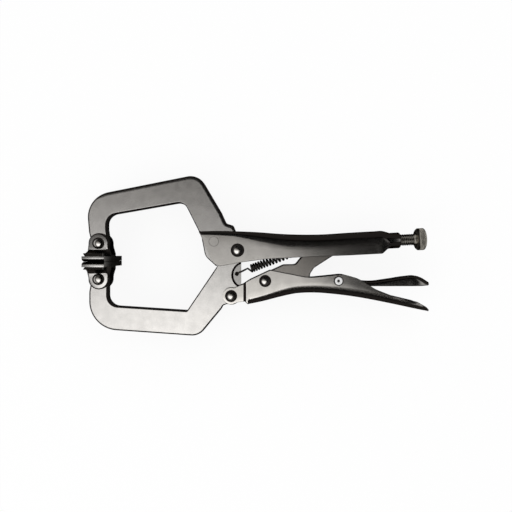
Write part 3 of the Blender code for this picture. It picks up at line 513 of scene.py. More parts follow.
def dressed(name, mesh, kind, painted_shade_at=None):
    """A new object in the scene from a mesh, with its marks of lean and its finish."""
    show_sides(mesh, painted_shade_at)
    mesh.materials.clear()
    mesh.materials.append(metal(kind))
    made = bpy.data.objects.new(name, mesh)
    bpy.context.collection.objects.link(made)
    return made


def add_piece(name, mesh, kind, body, *nodes, painted_shade_at=None):
    """Puts a mesh in the scene with its finish and slot on its body, in place of the solids it stands for."""
    made = dressed(name, mesh, kind, painted_shade_at)
    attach(made, body)
    if nodes:
        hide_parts(*nodes)
    return made


def feed(tree, socket, value):
    """Links the output of a node to a socket, or sets the socket to a plain number or colour."""
    if isinstance(value, bpy.types.NodeSocket):
        tree.links.new(value, socket)
    else:
        socket.default_value = value


def add_node(tree, kind, settings=(), **inputs):
    """Adds a node, sets its properties or input values by name, and feeds its inputs by name."""
    made = tree.nodes.new(kind)
    for name, value in dict(settings).items():
        if hasattr(made, name):
            setattr(made, name, value)
        else:
            made.inputs[name].default_value = value
    for name, value in inputs.items():
        feed(tree, made.inputs[name], value)
    return made


def worked(tree, operation, first, second=0.0, kind="ShaderNodeMath"):
    """The result of one step of arithmetic on plain values or outputs of nodes."""
    made = add_node(tree, kind, {"operation": operation})
    feed(tree, made.inputs[0], first)
    feed(tree, made.inputs["Scale" if operation == "SCALE" else 1], second)
    return made.outputs[0]


def ranged(tree, value, start, end, low=0.0, high=1.0, kind="SMOOTHSTEP"):
    """A value between start and end carried to one between low and high."""
    limits = {"interpolation_type": kind, "From Min": start, "From Max": end, "To Min": low, "To Max": high}
    return add_node(tree, "ShaderNodeMapRange", limits, Value=value).outputs["Result"]


def mixed(tree, share, first, second):
    """Two colours mixed by a share, from the first at 0 to the second at 1."""
    made = add_node(tree, "ShaderNodeMix", {"data_type": "RGBA"})
    for socket, value in ((0, share), (6, first), (7, second)):
        feed(tree, made.inputs[socket], value)
    return made.outputs[2]


# The finishes, by the name of their colour. The columns are the metal with how its surface was made, how
# metallic and how rough it is, the size of its patches and of its grain in millimetres, the strength of
# the grain, the leans at which the painted shade round its edges starts and is whole, and the share of
# that painted shade which upright walls lose again. Leans above 1 come only from the marks of a piece's
# own mesh.
FINISHES = {
    # Satin nickel over pressed sheet: an even soft sheen, with painted shade in the folds and round the edges
    "sheet": ("satin_nickel_on_pressed_sheet", 1.0, 0.14, 9.0, 0.5, 0.07, 0.012, 0.05, 0.6),
    # Satin nickel over a blasted forging: a little rougher and patchier than the sheet, with painted shade
    # round its edges
    "forging": ("satin_nickel_on_blasted_forging", 1.0, 0.22, 7.0, 0.7, 0.2, 0.003, 0.04, 0.6),
    # Thin nickel over a stamped plate: the same sheen as the handles, but greyer, with painted shade round
    # its edges
    "link": ("thin_nickel_on_stamped_plate", 1.0, 0.2, 9.0, 0.5, 0.1, 0.012, 0.05, 0.6),
    # Polished cold-headed steel: sharp small highlights in a head that painted shade darkens towards its rim
    "rivet": ("polished_cold_headed_steel", 1.0, 0.14, 4.0, 0.5, 0.05, 0.02, 0.07, 0.2),
    # Bright zinc on a rolled eyelet: a soft pale ring, half dull and half metal, round a dark hole, with
    # painted shade on the flange outside it
    "zinc": ("bright_zinc_on_rolled_steel", 0.4, 0.36, 4.0, 0.5, 0.1, 2.0, 3.0, 0.0),
    # Plated steel from the lathe: duller than the sheet, with painted shade where the round turns away and
    # down in the thread and knurl
    "turned": ("plated_turned_steel", 1.0, 0.3, 5.0, 0.4, 0.1, 0.12, 0.5, 0.9),
    # Hard drawn spring wire: dark with a bright line along each turn, and painted shade on its eye in the
    # arm's hole
    "wire": ("drawn_spring_wire", 1.0, 0.3, 5.0, 0.4, 0.1, 2.0, 3.0, 0.0),
}

# What all finishes share: the tint of the gloss at grazing views, the noise that patches are made of and
# the tones that it gives, the leans between which a surface comes to stand upright, how far the grain
# changes the roughness, and its height in millimetres
EDGE_TINT = "#a8a49f"
PATCH_NOISE = (0.3, 0.7)
PATCH_TONES = (0.86, 1.0)
UPRIGHT_LEANS = (0.68, 0.92)
GLOSS_SPREAD = (-0.03, 0.05)
GRAIN_HEIGHT = 0.05


def metal(kind):
    """A plated metal: patchy base colour, with painted shade round its edges, and fine grain in gloss and
    height.

    The attribute "aside" says how far the surface leans. The painted shade grows smoothly between the two
    leans of the finish, and its lost share grows smoothly while the surface comes to stand upright.
    """
    name, metallic, roughness, patch, grain, strength, dark_from, dark_to, walls = FINISHES[kind]
    made = bpy.data.materials.get(name)
    if made:
        return made
    colours = bpy.context.scene.clamp_colours
    made = bpy.data.materials.new(name)
    made.use_nodes = True
    tree = made.node_tree
    shader = tree.nodes["Principled BSDF"].inputs
    shader["Metallic"].default_value = metallic
    shader["Specular Tint"].default_value = (*linear(EDGE_TINT), 1.0)
    place = add_node(tree, "ShaderNodeTexCoord").outputs["Object"]
    patches, fine = (
        add_node(tree, "ShaderNodeTexNoise", {"Scale": 1 / (wide * MM), "Detail": detail}, Vector=place)
        for wide, detail in ((patch, 3.0), (grain, 2.0))
    )
    level = ranged(tree, patches.outputs["Fac"], *PATCH_NOISE, *PATCH_TONES, "LINEAR")
    tint = worked(tree, "SCALE", getattr(colours, kind), level, "ShaderNodeVectorMath")
    aside = add_node(tree, "ShaderNodeAttribute", {"attribute_name": "aside"}).outputs["Fac"]
    kept = ranged(tree, aside, *UPRIGHT_LEANS, 1.0, 1.0 - walls)
    dark = worked(tree, "MULTIPLY", ranged(tree, aside, dark_from, dark_to), kept)
    # Painted shade: the base colour goes towards the shade colour where the marks of lean are high
    feed(tree, shader["Base Color"], mixed(tree, dark, tint, (*colours.shade, 1.0)))
    fine = fine.outputs["Fac"]
    limits = [roughness + change for change in GLOSS_SPREAD]
    gloss = ranged(tree, fine, 0.0, 1.0, *limits, "LINEAR")
    feed(tree, shader["Roughness"], gloss)
    bump = add_node(
        tree, "ShaderNodeBump", {"Strength": strength, "Distance": GRAIN_HEIGHT * MM}, Height=fine
    )
    feed(tree, shader["Normal"], bump.outputs["Normal"])
    return made


class CLAMP_OT_jaws(bpy.types.Operator):
    """Builds the two forged arms with their rounded edges"""

    bl_idname = "clamp.jaws"
    bl_label = "Forged arms"

    def execute(self, context):
        outer, front, inner = size("outer_round"), size("front_round"), size("inner_round")
        tip_x, tip_y = FIXED_PAD
        tip = arc(FIXED_PAD, ARM_TIP, 180, 360)
        throat = rounded([
            (tip_x + ARM_TIP, tip_y + 1.0, 0), (-107.3, 17.0, 10), (-107.3, 28.5, 9), (-43.9, 39.6, 8),
            (-29.9, 11.6, 12), (-26.6, -5.0, 9), (-17.7, -13.1, 0),
        ])
        seat = arc(MAIN, 9.9, 190, 12)
        tang = rounded([(13.5, 2.2, 0), (12.5, 12.0, 1.0), (-1.6, 12.9, 0)])
        horn = rounded([(-1.7, 16.0, 0), (-3.4, 20.2, 2.0), (-9.2, 22.0, 3.5), (-12.9, 30.1, 0)])
        back = rounded([
            (-13.0, 30.5, 0), (-31.9, 62.5, 13.5), (-124.3, 44.0, 21), (-121.8, 14.9, 6), (-120.3, 8.5, 0),
        ])
        # The back has the outer radius over the top, and the front radius where it comes down to the tip
        over = (back[:, 0] > -80) | (back[:, 1] > 45.0)
        chains = [(tip, inner), (throat, inner), (seat, 0.3), (tang, 0.3), (horn, outer)]
        chains += [(back[over], outer), (back[~over], front)]
        mesh = rounded_plate("fixed_arm", chains, JAW_HALF, blend=3.0)
        add_piece("fixed_arm", mesh, "forging", "clamp_body", "fixed_jaw")

        tip_x, tip_y = MOVING_PAD
        head = arc(MAIN, 9.5, -73, 191.5)
        throat = rounded([
            (-17.3, -13.7, 0), (-41.6, -49.6, 1.5), (-106.5, -45.4, 9), (-106.5, -30.0, 8),
            (tip_x + ARM_TIP, tip_y - 1.0, 0),
        ])
        tip = arc(MOVING_PAD, ARM_TIP, 0, 180)
        back = rounded([
            (tip_x - ARM_TIP, tip_y - 1.0, 0), (-121.6, -34.0, 12), (-121.6, -64.1, 24),
            (-31.6, -70.4, 13), (-13.1, -48.0, 0),
        ])
        knee = rounded([(-12.9, -47.7, 0), (-11.7, -45.2, 2.5), (-9.0, -44.2, 0)])
        boss = arc(HANDLE, 7.4, 250, 360)
        edge = np.array([(2.8, -30.0), (2.8, -9.2)])
        chains = [(head, 0.3), (throat, inner), (tip, inner), (back, front)]
        chains += [(knee, 1.2), (boss, 0.5), (edge, 0.5)]
        mesh = rounded_plate("moving_arm", chains, JAW_HALF, blend=3.0)
        cuts = []
        for low, high in ((RECESS_HALF, 5.5), (-5.5, -RECESS_HALF)):
            down = JAW_HALF - np.abs((low, high))
            wide = RECESS_RADIUS - RECESS_DRAFT * down / (JAW_HALF - RECESS_HALF)
            profile = [(0, low), (wide[0], low), (wide[1], high), (0, high)]
            cuts.append(("DIFFERENCE", revolved("recess", profile, 96, RECESS)))
        mesh = carved(mesh, [*cuts, bore(1.8, 6.0, SPRING_HOLE, 32)])

        def painted_shade_at(at):
            """Painted shade on the floor of the recess."""
            return RECESS_PAINTED_SHADE * (np.abs(at[:, 2]) < RECESS_HALF + 0.5)

        add_piece("moving_arm", mesh, "forging", "moving_jaw_body", "moving_jaw", painted_shade_at=painted_shade_at)
        return {"FINISHED"}


class CLAMP_OT_upper_handle(bpy.types.Operator):
    """Builds the upper handle: a folded channel swaged to a threaded tube at its rear"""

    bl_idname = "clamp.upper_handle"
    bl_label = "Upper handle"

    def execute(self, context):
        start, end, slot_end = -31.4, 124.0, -1.2
        lower_edge = rounded([
            (start, 14.6, 0), (-24.3, 0.0, 40), (-18.6, -13.9, 7.5), (3.3, -9.8, 60), (23.7, -7.2, 60),
            (60.0, -5.3, 200), (91.0, -4.2, 100), (118.0, -2.8, 2.5), (122.2, 1.0, 1.0), (end, 1.4, 0),
        ], 3.0)
        spine_rows = [
            (-36.0, 15.2, 7.2, 2.4), (-22.0, 15.7, 7.2, 2.6), (-2.0, 15.5, 7.2, 3.0), (18.0, 14.7, 7.2, 4.4),
            (34.0, 13.5, 7.2, 5.4), (50.0, 12.9, 7.2, 5.9), (68.0, 13.0, 7.2, 6.1), (92.0, 14.5, 7.2, 6.3),
            (112.0, 15.6, 7.2, 6.5), (119.0, 15.9, 7.2, 6.5), (end, 14.6, 6.6, 6.4),
        ]
        x = np.sort(np.concatenate((stations_of(lower_edge, start, end, 2.0), [slot_end, slot_end])))
        rows = smooth_through(spine_rows, x)
        leg = np.interp(x, *lower_edge.T)
        slot = np.where(x < slot_end, CHEEK_INNER, 0.0)
        slot[np.flatnonzero(np.isclose(x, slot_end))[0]] = CHEEK_INNER
        reach = np.interp(x, [-36.0, -2.0, 18.0, 40.0, end], [3.0, 4.5, 8.0, 10.5, 10.5])
        hole = bore(4.1, 10.0, FLUSH, 64)
        mesh = channel("upper_channel", rows, leg, slot, reach, size("sheet"), hole)
        add_piece("upper_channel", mesh, "sheet", "clamp_body", "upper_handle")

        start, end = 108.0 - SCREW[0], 133.3 - SCREW[0]
        rings = [
            (5.1, start), (5.7, start), (6.5, start + 2), (6.5, end - 0.9), (6.2, end - 0.3), (5.9, end),
            (5.3, end), (5.1, end - 0.3), (5.1, start),
        ]
        mesh = spun_on_screw("swaged_tube", rings, 72)
        add_piece("swaged_tube", mesh, "sheet", "clamp_body")
        return {"FINISHED"}


class CLAMP_OT_lower_handle(bpy.types.Operator):
    """Builds the lower handle: a folded channel with two ears and a step in its sides"""

    bl_idname = "clamp.lower_handle"
    bl_label = "Lower handle"

    def execute(self, context):
        sheet = size("sheet")
        ear_radius, ear_end, end = 6.9, 8.2, 156.2
        upper_edge = np.vstack((
            arc(HANDLE, ear_radius, 180, 72, 8),
            rounded([
                (-2.9, -30.6, 0), (4.5, -27.6, 4), (10.0, -24.0, 12), (26.6, -16.2, 3), (58.0, -22.4, 40),
                (86.0, -19.5, 14), (98.0, -22.9, 24), (112.0, -31.7, 30), (126.5, -37.3, 40),
                (146.0, -41.9, 8), (154.0, -46.3, 3), (end, -48.4, 0),
            ], 3.0),
        ))
        ear_edge = np.vstack((
            arc(HANDLE, ear_radius, 180, 275, 8),
            rounded([(-4.4, -44.1, 0), (0.5, -42.2, 5), (6.0, -41.6, 1), (ear_end, -43.7, 0)], 6.0),
        ))
        spine_rows = [
            (ear_end, -44.0, 8.4, 3.3), (11.0, -43.5, 8.4, 3.4), (22.0, -41.2, 8.4, 3.8),
            (34.0, -38.1, 8.4, 4.0), (48.0, -35.2, 8.4, 4.0), (62.0, -34.6, 8.4, 4.0),
            (80.0, -35.9, 8.4, 4.0), (98.0, -38.3, 8.4, 4.0), (124.0, -43.2, 8.4, 3.6),
            (146.0, -47.9, 7.8, 3.2), (152.6, -49.3, 6.0, 2.8), (end, -50.0, 4.2, 2.6),
        ]
        left = HANDLE[0] - ear_radius
        edges = ((ear_edge, 0.75), (upper_edge, 2.0))
        front = np.unique(np.concatenate([stations_of(edge, left, ear_end, step) for edge, step in edges]))
        ear_spine = np.interp(front, *ear_edge.T)
        rise = np.clip((front - 4.4) / 3.0, 0, 1)
        ear_half = CHEEK_OUTER + (BODY_OUTER - CHEEK_OUTER) * (3 * rise**2 - 2 * rise**3)
        ear = np.column_stack((front, ear_spine, ear_half, np.full(len(front), 0.35)))
        rows = np.vstack((ear, smooth_through(spine_rows, stations_of(upper_edge, ear_end, end, 2.0))))
        leg = np.maximum(np.interp(rows[:, 0], *upper_edge.T), rows[:, 1] + 0.2)
        slot = np.zeros(len(rows))
        slot[: len(front)] = ear_half - sheet
        reach = np.interp(rows[:, 0], [6.0, 9.5, 40.0, 156.0], [0.35, 5.0, 7.0, 7.5])
        mesh = channel("lower_channel", rows, leg, slot, reach, sheet, bore(LEVER_BORE, 12.0, LEVER, 48))
        add_piece("lower_channel", mesh, "sheet", "lower_handle_body", "lower_handle")
        return {"FINISHED"}


class CLAMP_OT_toggle_link(bpy.types.Operator):
    """Builds the toggle link between the lower handle and the screw's tip"""

    bl_idname = "clamp.toggle_link"
    bl_label = "Toggle link"

    def execute(self, context):
        front = arc(LINK, 7.2, 160, 275)
        heel = rounded([
            (24.0, -31.8, 0), (44.0, -28.0, 12), (58.4, -25.2, 1.6), (59.6, -19.0, 1), (62.6, -14.5, 4),
            (77.4, -5.0, 6), (86.0, -1.9, 0),
        ])[1:-1]
        lobe = arc(LINK_END, 5.0, -58, 108)
        back = rounded([
            (81.0, 7.0, 0), (70.0, 2.2, 20), (54.2, -2.8, 6), (47.4, -11.4, 3.5), (37.6, -11.6, 3),
            (17.6, -20.7, 3), (15.7, -22.3, 0),
        ])[1:-1]
        mesh = rounded_plate("link_plate", [(np.vstack((front, heel, lobe, back)), 0.7)], 4.5, 4)
        add_piece("link_plate", mesh, "link", "toggle_link_body", "toggle_link")
        return {"FINISHED"}


class CLAMP_OT_release_lever(bpy.types.Operator):
    """Builds the folded release lever inside the lower handle"""

    bl_idname = "clamp.release_lever"
    bl_label = "Release lever"

    def execute(self, context):
        start, end, wide = 58.6, 156.7, 5.7
        lower_edge = rounded([
            (54.0, -31.0, 0), (72.0, -31.0, 12), (82.0, -30.6, 10), (97.0, -31.4, 12), (109.0, -29.4, 12),
            (150.0, -29.3, 20), (156.2, -28.9, 0.8), (157.5, -27.6, 0),
        ])
        spine_rows = [
            (start, -30.0, wide - 1.2, 1.8), (62.0, -29.4, wide, 1.8), (67.0, -27.6, wide, 2.0),
            (73.0, -23.2, wide, 2.2), (79.0, -20.6, wide, 2.4), (86.0, -20.4, wide, 2.4),
            (96.0, -23.8, wide, 2.4), (108.0, -25.2, wide, 2.4), (124.0, -23.4, wide, 2.4),
            (138.0, -21.3, wide, 2.4), (146.0, -20.9, wide, 2.6), (151.5, -22.9, wide - 1.0, 2.6),
            (end, -26.1, wide - 2.4, 2.0),
        ]
        x = stations_of(lower_edge, start, end, 1.5)
        rows = smooth_through(spine_rows, x)
        leg = np.interp(x, *lower_edge.T)
        slot, reach, hole = np.zeros(len(x)), rows[:, 3] * 1.6, bore(LEVER_BORE, 12.0, LEVER, 48)
        mesh = channel("lever_channel", rows, leg, slot, reach, size("lever_sheet"), hole)
        add_piece("lever_channel", mesh, "sheet", "release_lever_body", "release_lever")
        return {"FINISHED"}


def domed_head(radius, seat, shaft):
    """Half a rivet's profile: shaft, underside, short rim, then a dome whose rise is half its radius."""
    rim = 0.5
    turn = np.linspace(0, math.pi / 2, 14)
    rise = radius * 0.5 - rim
    dome = np.column_stack((radius * np.cos(turn), seat + rim + rise * np.sin(turn)))
    return np.vstack(([(shaft, seat), (radius - 0.3, seat), (radius, seat + rim / 2)], dome))


def both_halves(upper):
    """A rivet's whole profile: its upper half turned over, and then its upper half."""
    return np.vstack((np.array(upper[::-1]) * (1, -1), upper))


class CLAMP_OT_rivets(bpy.types.Operator):
    """Builds the domed, flush and hollow rivets"""

    bl_idname = "clamp.rivets"
    bl_label = "Rivets"

    def execute(self, context):
        domed = [
            ("main_pivot_rivet", MAIN, 5.5, 3.3, CHEEK_OUTER, "clamp_body"),
            ("jaw_handle_rivet", HANDLE, 4.9, 3.0, CHEEK_OUTER, "lower_handle_body"),
            ("toggle_link_rivet", LINK, 4.9, 3.0, BODY_OUTER, "lower_handle_body"),
            ("fixed_pad_rivet", FIXED_PAD, 4.7, 2.8, 7.5, "clamp_body"),
            ("moving_pad_rivet", MOVING_PAD, 4.7, 2.8, 7.5, "moving_jaw_body"),
        ]
        for node, place, head, shaft, grip, body in domed:
            profile = both_halves(domed_head(head, grip + 0.3, shaft))
            mesh = revolved(node + "_skin", profile, 64, place)
            add_piece(node + "_skin", mesh, "rivet", body, node)

        profile = both_halves([(2.8, 5.0), (3.95, 5.0), (3.95, 7.05), (3.8, 7.2), (0, 7.2)])
        mesh = revolved("flush_rivet_skin", profile, 64, FLUSH)
        add_piece("flush_rivet_skin", mesh, "sheet", "clamp_body", "fixed_jaw_rivet")

        seat, top = BODY_OUTER + 0.3, BODY_OUTER + 0.6
        turn = np.linspace(0, math.pi, 9)
        roll = np.column_stack((2.15 + 0.95 * np.cos(turn), top + 0.6 * np.sin(turn)))
        flange = [(2.4, seat), (3.75, seat), (3.9, BODY_OUTER + 0.45), (3.75, top)]
        profile = both_halves(np.vstack((flange, roll, [(1.2, BODY_OUTER)])))
        mesh = revolved("eyelet_skin", np.vstack((profile, profile[:1])), 48, LEVER)

        def painted_shade_at(at):
            """Painted shade on the flange outside the bright roll."""
            return 3.0 * (np.hypot(*(at[:, :2] - LEVER).T) > 3.05)

        add_piece("eyelet_skin", mesh, "zinc", "lower_handle_body", "release_lever_rivet", painted_shade_at=painted_shade_at)
        return {"FINISHED"}


def eased_ears(mesh, pivot, height):
    """Rounds the outer edges of a pad's ears about its rivet: a bevel 1.1 mm wide in three steps."""
    work = bmesh.new()
    work.from_mesh(mesh)
    chosen = []
    for edge in work.edges:
        ends = [np.array(vert.co) / MM - ORIGIN for vert in edge.verts]
        level = all(abs(abs(end[2]) - height) < 0.01 for end in ends)
        outer = all(np.linalg.norm(end[:2] - pivot) > 8.0 for end in ends)
        if level and outer and edge.is_manifold and edge.calc_face_angle() > 0.6:
            chosen.append(edge)
    bmesh.ops.bevel(work, geom=chosen, offset=1.1 * MM, segments=3, profile=0.5, affect="EDGES")
    work.to_mesh(mesh)
    work.free()
    return mesh


class CLAMP_OT_pads(bpy.types.Operator):
    """Builds the two swivel pads, each a shoe with two ears about its rivet"""

    bl_idname = "clamp.pads"
    bl_label = "Swivel pads"

    def execute(self, context):
        pads = [
            ("fixed_jaw_pad", FIXED_PAD, 1, "fixed_pad_body"),
            ("moving_jaw_pad", MOVING_PAD, -1, "moving_pad_body"),
        ]
        rim, ear, past, half = 4.2, 7.5, 30, PAD_HALF_DEPTH
        # The two working faces stay this far short of the plane in which they would meet
        gap = 0.08
        for node, pivot, side, body in pads:

            def placed(points):
                """Points of the pad's side view, drawn from its rivet and its working face, in place."""
                points = np.array(points, float)
                return np.column_stack((pivot[0] + points[:, 0], CONTACT + side * points[:, 1]))

            wing = rounded([
                (half, rim, 0), (18.2, rim, 0), (17.0, 6.4, 0.8), (9.9, 6.8, 2.4), (ear, 9.2, 0),
                (ear, 14.6, 0),
            ])[:-1]
            near = np.vstack(([(half - 2.0, gap), (half, 2.15)], wing, [(ear, 22.9)]))
            far = np.vstack(([(half - 0.2, gap), (half, 0.28)], wing, [(ear, 22.9)]))
            section = np.vstack((near, (far * (-1, 1))[::-1]))[:, ::-1]
            section[:, 0] = CONTACT + side * section[:, 0]
            left, right = 1.3 - 8.6, 1.3 + 8.6
            base = rounded([
                (left + 0.9, -2, 0), (left + 0.9, gap, 0), (left, 1, 0), (left, rim, 0), (-9.2, 6.4, 1),
                (-8.3, 13.6, 0),
            ])
            close = rounded([
                (8.3, 11.6, 0), (right, 6.2, 3), (right, 0.3, 0), (right - 0.2, gap, 0), (right - 0.2, -2, 0),
            ])
            outline = placed(np.vstack((base, arc((0, 14.6), 8.3, 180, 0), close)))
            shoulder = placed([(6.3, rim), (14, rim), (14, 12), (6.3, 12)])
            step = placed([(6.3, rim), (14, rim), (14, 12.5), (8.3, 12.5), (8.3, 10), (6.3, 10)])
            slot = placed([(-14, 5.2), (14, 5.2), (14, 26), (-14, 26)])
            mesh = prism(node + "_skin", section, pivot[0] - 10, pivot[0] + 11, 0)
            steps = [("INTERSECT", prism("side", outline, -past, past))]
            for plan, low in ((shoulder, ear), (step, ear - 0.4)):
                steps.append(("DIFFERENCE", prism("outside", plan, low, past)))
                steps.append(("DIFFERENCE", prism("outside", plan, -past, -low)))
            steps.append(("DIFFERENCE", prism("slot", slot, -CHEEK_INNER, CHEEK_INNER)))
            mesh = eased_ears(carved(mesh, steps), pivot, ear)
            mesh = carved(mesh, [], context.scene.clamp_sizes.pad_edge)

            def painted_shade_at(at):
                """Painted shade on all but the faces of the ears and the near and far ends of the shoe."""
                high = np.abs(at[:, 2])
                return 0.5 * ((high < ear - 0.2) | ((high > ear + 0.2) & (high < half - 0.5)))

            add_piece(node + "_skin", mesh, "forging", body, node, painted_shade_at=painted_shade_at)
        return {"FINISHED"}


class CLAMP_OT_screw(bpy.types.Operator):
    """Builds the adjusting screw with its thread and the knurled knob"""

    bl_idname = "clamp.screw"
    bl_label = "Adjusting screw"

    def execute(self, context):
        round_turn = 2 * math.pi
        pitch, depth = size("thread_pitch"), size("thread_depth")
        start, end = 91.9 - SCREW[0], 147.1 - SCREW[0]
        run = np.arange(start + 1.0, end - 0.4, pitch / 8)
        turn = np.linspace(0, round_turn, 48, endpoint=False)
        share = (run[:, None] / pitch - turn / round_turn) % 1
        ridge = np.clip(1.3 * np.abs(2 * share - 1), 0, 1)
        fade = np.clip((end - 1.6 - run) / 1.5, 0, 1)[:, None]
        threaded = SHANK - depth * ridge * fade
        parts = [(0, start), (3.8, start), (threaded, run), (SHANK, end), (0, end)]
        mesh = spun_on_screw("threaded_shank", parts, len(turn), 40)
        add_piece("threaded_shank", mesh, "turned", "screw_body", "adjusting_screw")

        pitch, depth = size("knurl_pitch"), size("knurl_depth")
        count = round(round_turn * KNOB / pitch)
        around = np.linspace(0, round_turn, count * 8, endpoint=False)
        band = np.arange(end + 1.5, end + 5.6, pitch / 7)
        one = around * count / round_turn + band[:, None] / pitch
        two = around * count / round_turn - band[:, None] / pitch
        groove = np.maximum(np.abs(2 * (one % 1) - 1), np.abs(2 * (two % 1) - 1))
        edge = np.minimum((band - band[0]) / 0.5, (band[-1] - band) / 0.5).clip(0, 1)[:, None]
        knurled = KNOB - depth * np.clip(groove * 1.4 - 0.4, 0, 1) * edge
        parts = [
            (0, end), (7.5, end), (8.0, end + 0.15), (8.9, end + 1.05), (KNOB, end + 1.4), (knurled, band),
            (9.05, end + 5.7), (8.9, end + 6.0), (8.5, end + 6.3), (0, end + 6.3),
        ]
        mesh = spun_on_screw("knurled_knob", parts, len(around), 40)
        add_piece("knurled_knob", mesh, "turned", "screw_body")
        return {"FINISHED"}


class CLAMP_OT_spring(bpy.types.Operator):
    """Builds the return spring, which stretches between the moving arm and the upper handle"""

    bl_idname = "clamp.spring"
    bl_label = "Return spring"

    def execute(self, context):
        along, across, out = axes_at(SPRING_TILT)
        start = np.array((11.0, -15.1, 0))
        hole = np.array((*SPRING_HOLE, 0))
        loop = 3.1
        hook = hole + np.array([
            (2.0, 1.4, -loop), (0.9, 0.6, -loop + 0.1), (0.3, 0.2, -loop + 0.5), (0.0, 0.0, -loop + 1.2),
            (0.0, 0.0, loop - 1.2), (0.3, 0.2, loop - 0.5), (0.9, 0.6, loop - 0.1), (2.0, 1.1, loop),
            (4.6, 2.3, loop), (6.8, 3.4, loop * 0.6), (8.8, 4.4, 0.3),
        ])
        turns, length_of_coil, coil_radius = 14, 37.4, 2.85
        share = np.linspace(0, 1, turns * 24 + 1)[:, None]
        run = length_of_coil * (0.7 * share + 0.3 * share**2)
        turn = 2 * math.pi * turns * share
        coil = start + along * run + (out * np.sin(turn) - across * np.cos(turn)) * coil_radius
        pin_radius, wire_radius, gap = 1.2, 0.65, 0.3
        radius = pin_radius + wire_radius + gap
        anchor = start + along * 49.0
        lead = start + along * 40.4 + across * radius * 0.8
        swing = np.linspace(math.pi / 2, -math.pi / 4, 14)[:, None]
        tail = anchor + (along * np.cos(swing) + across * np.sin(swing)) * radius
        path = np.vstack((hook, coil, lead[None], tail))
        mesh = grid_body("coiled_spring", along_path(path, size("wire") / 2))
        # The eye fills the spring's hole in the arm, and painted shade keeps it as dark as that hole's shadow
        profile = both_halves([(1.7, 1.1), (1.5, 1.3), (0, 1.3)])
        mesh = carved(mesh, [("UNION", revolved("eye", profile, 24, SPRING_HOLE))])

        def painted_shade_at(at):
            """Painted shade on the eye that fills the hole in the arm, where the hole lies in shadow."""
            return 3.0 * (np.hypot(*(at[:, :2] - SPRING_HOLE).T) < 1.72)

        made = dressed("coiled_spring", mesh, "wire", painted_shade_at)
        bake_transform(made)
        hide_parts("return_spring")
        pin = frame["nodes"]["spring_anchor_pin"]
        pin.data.materials.clear()
        pin.data.materials.append(metal("rivet"))
        return {"FINISHED"}


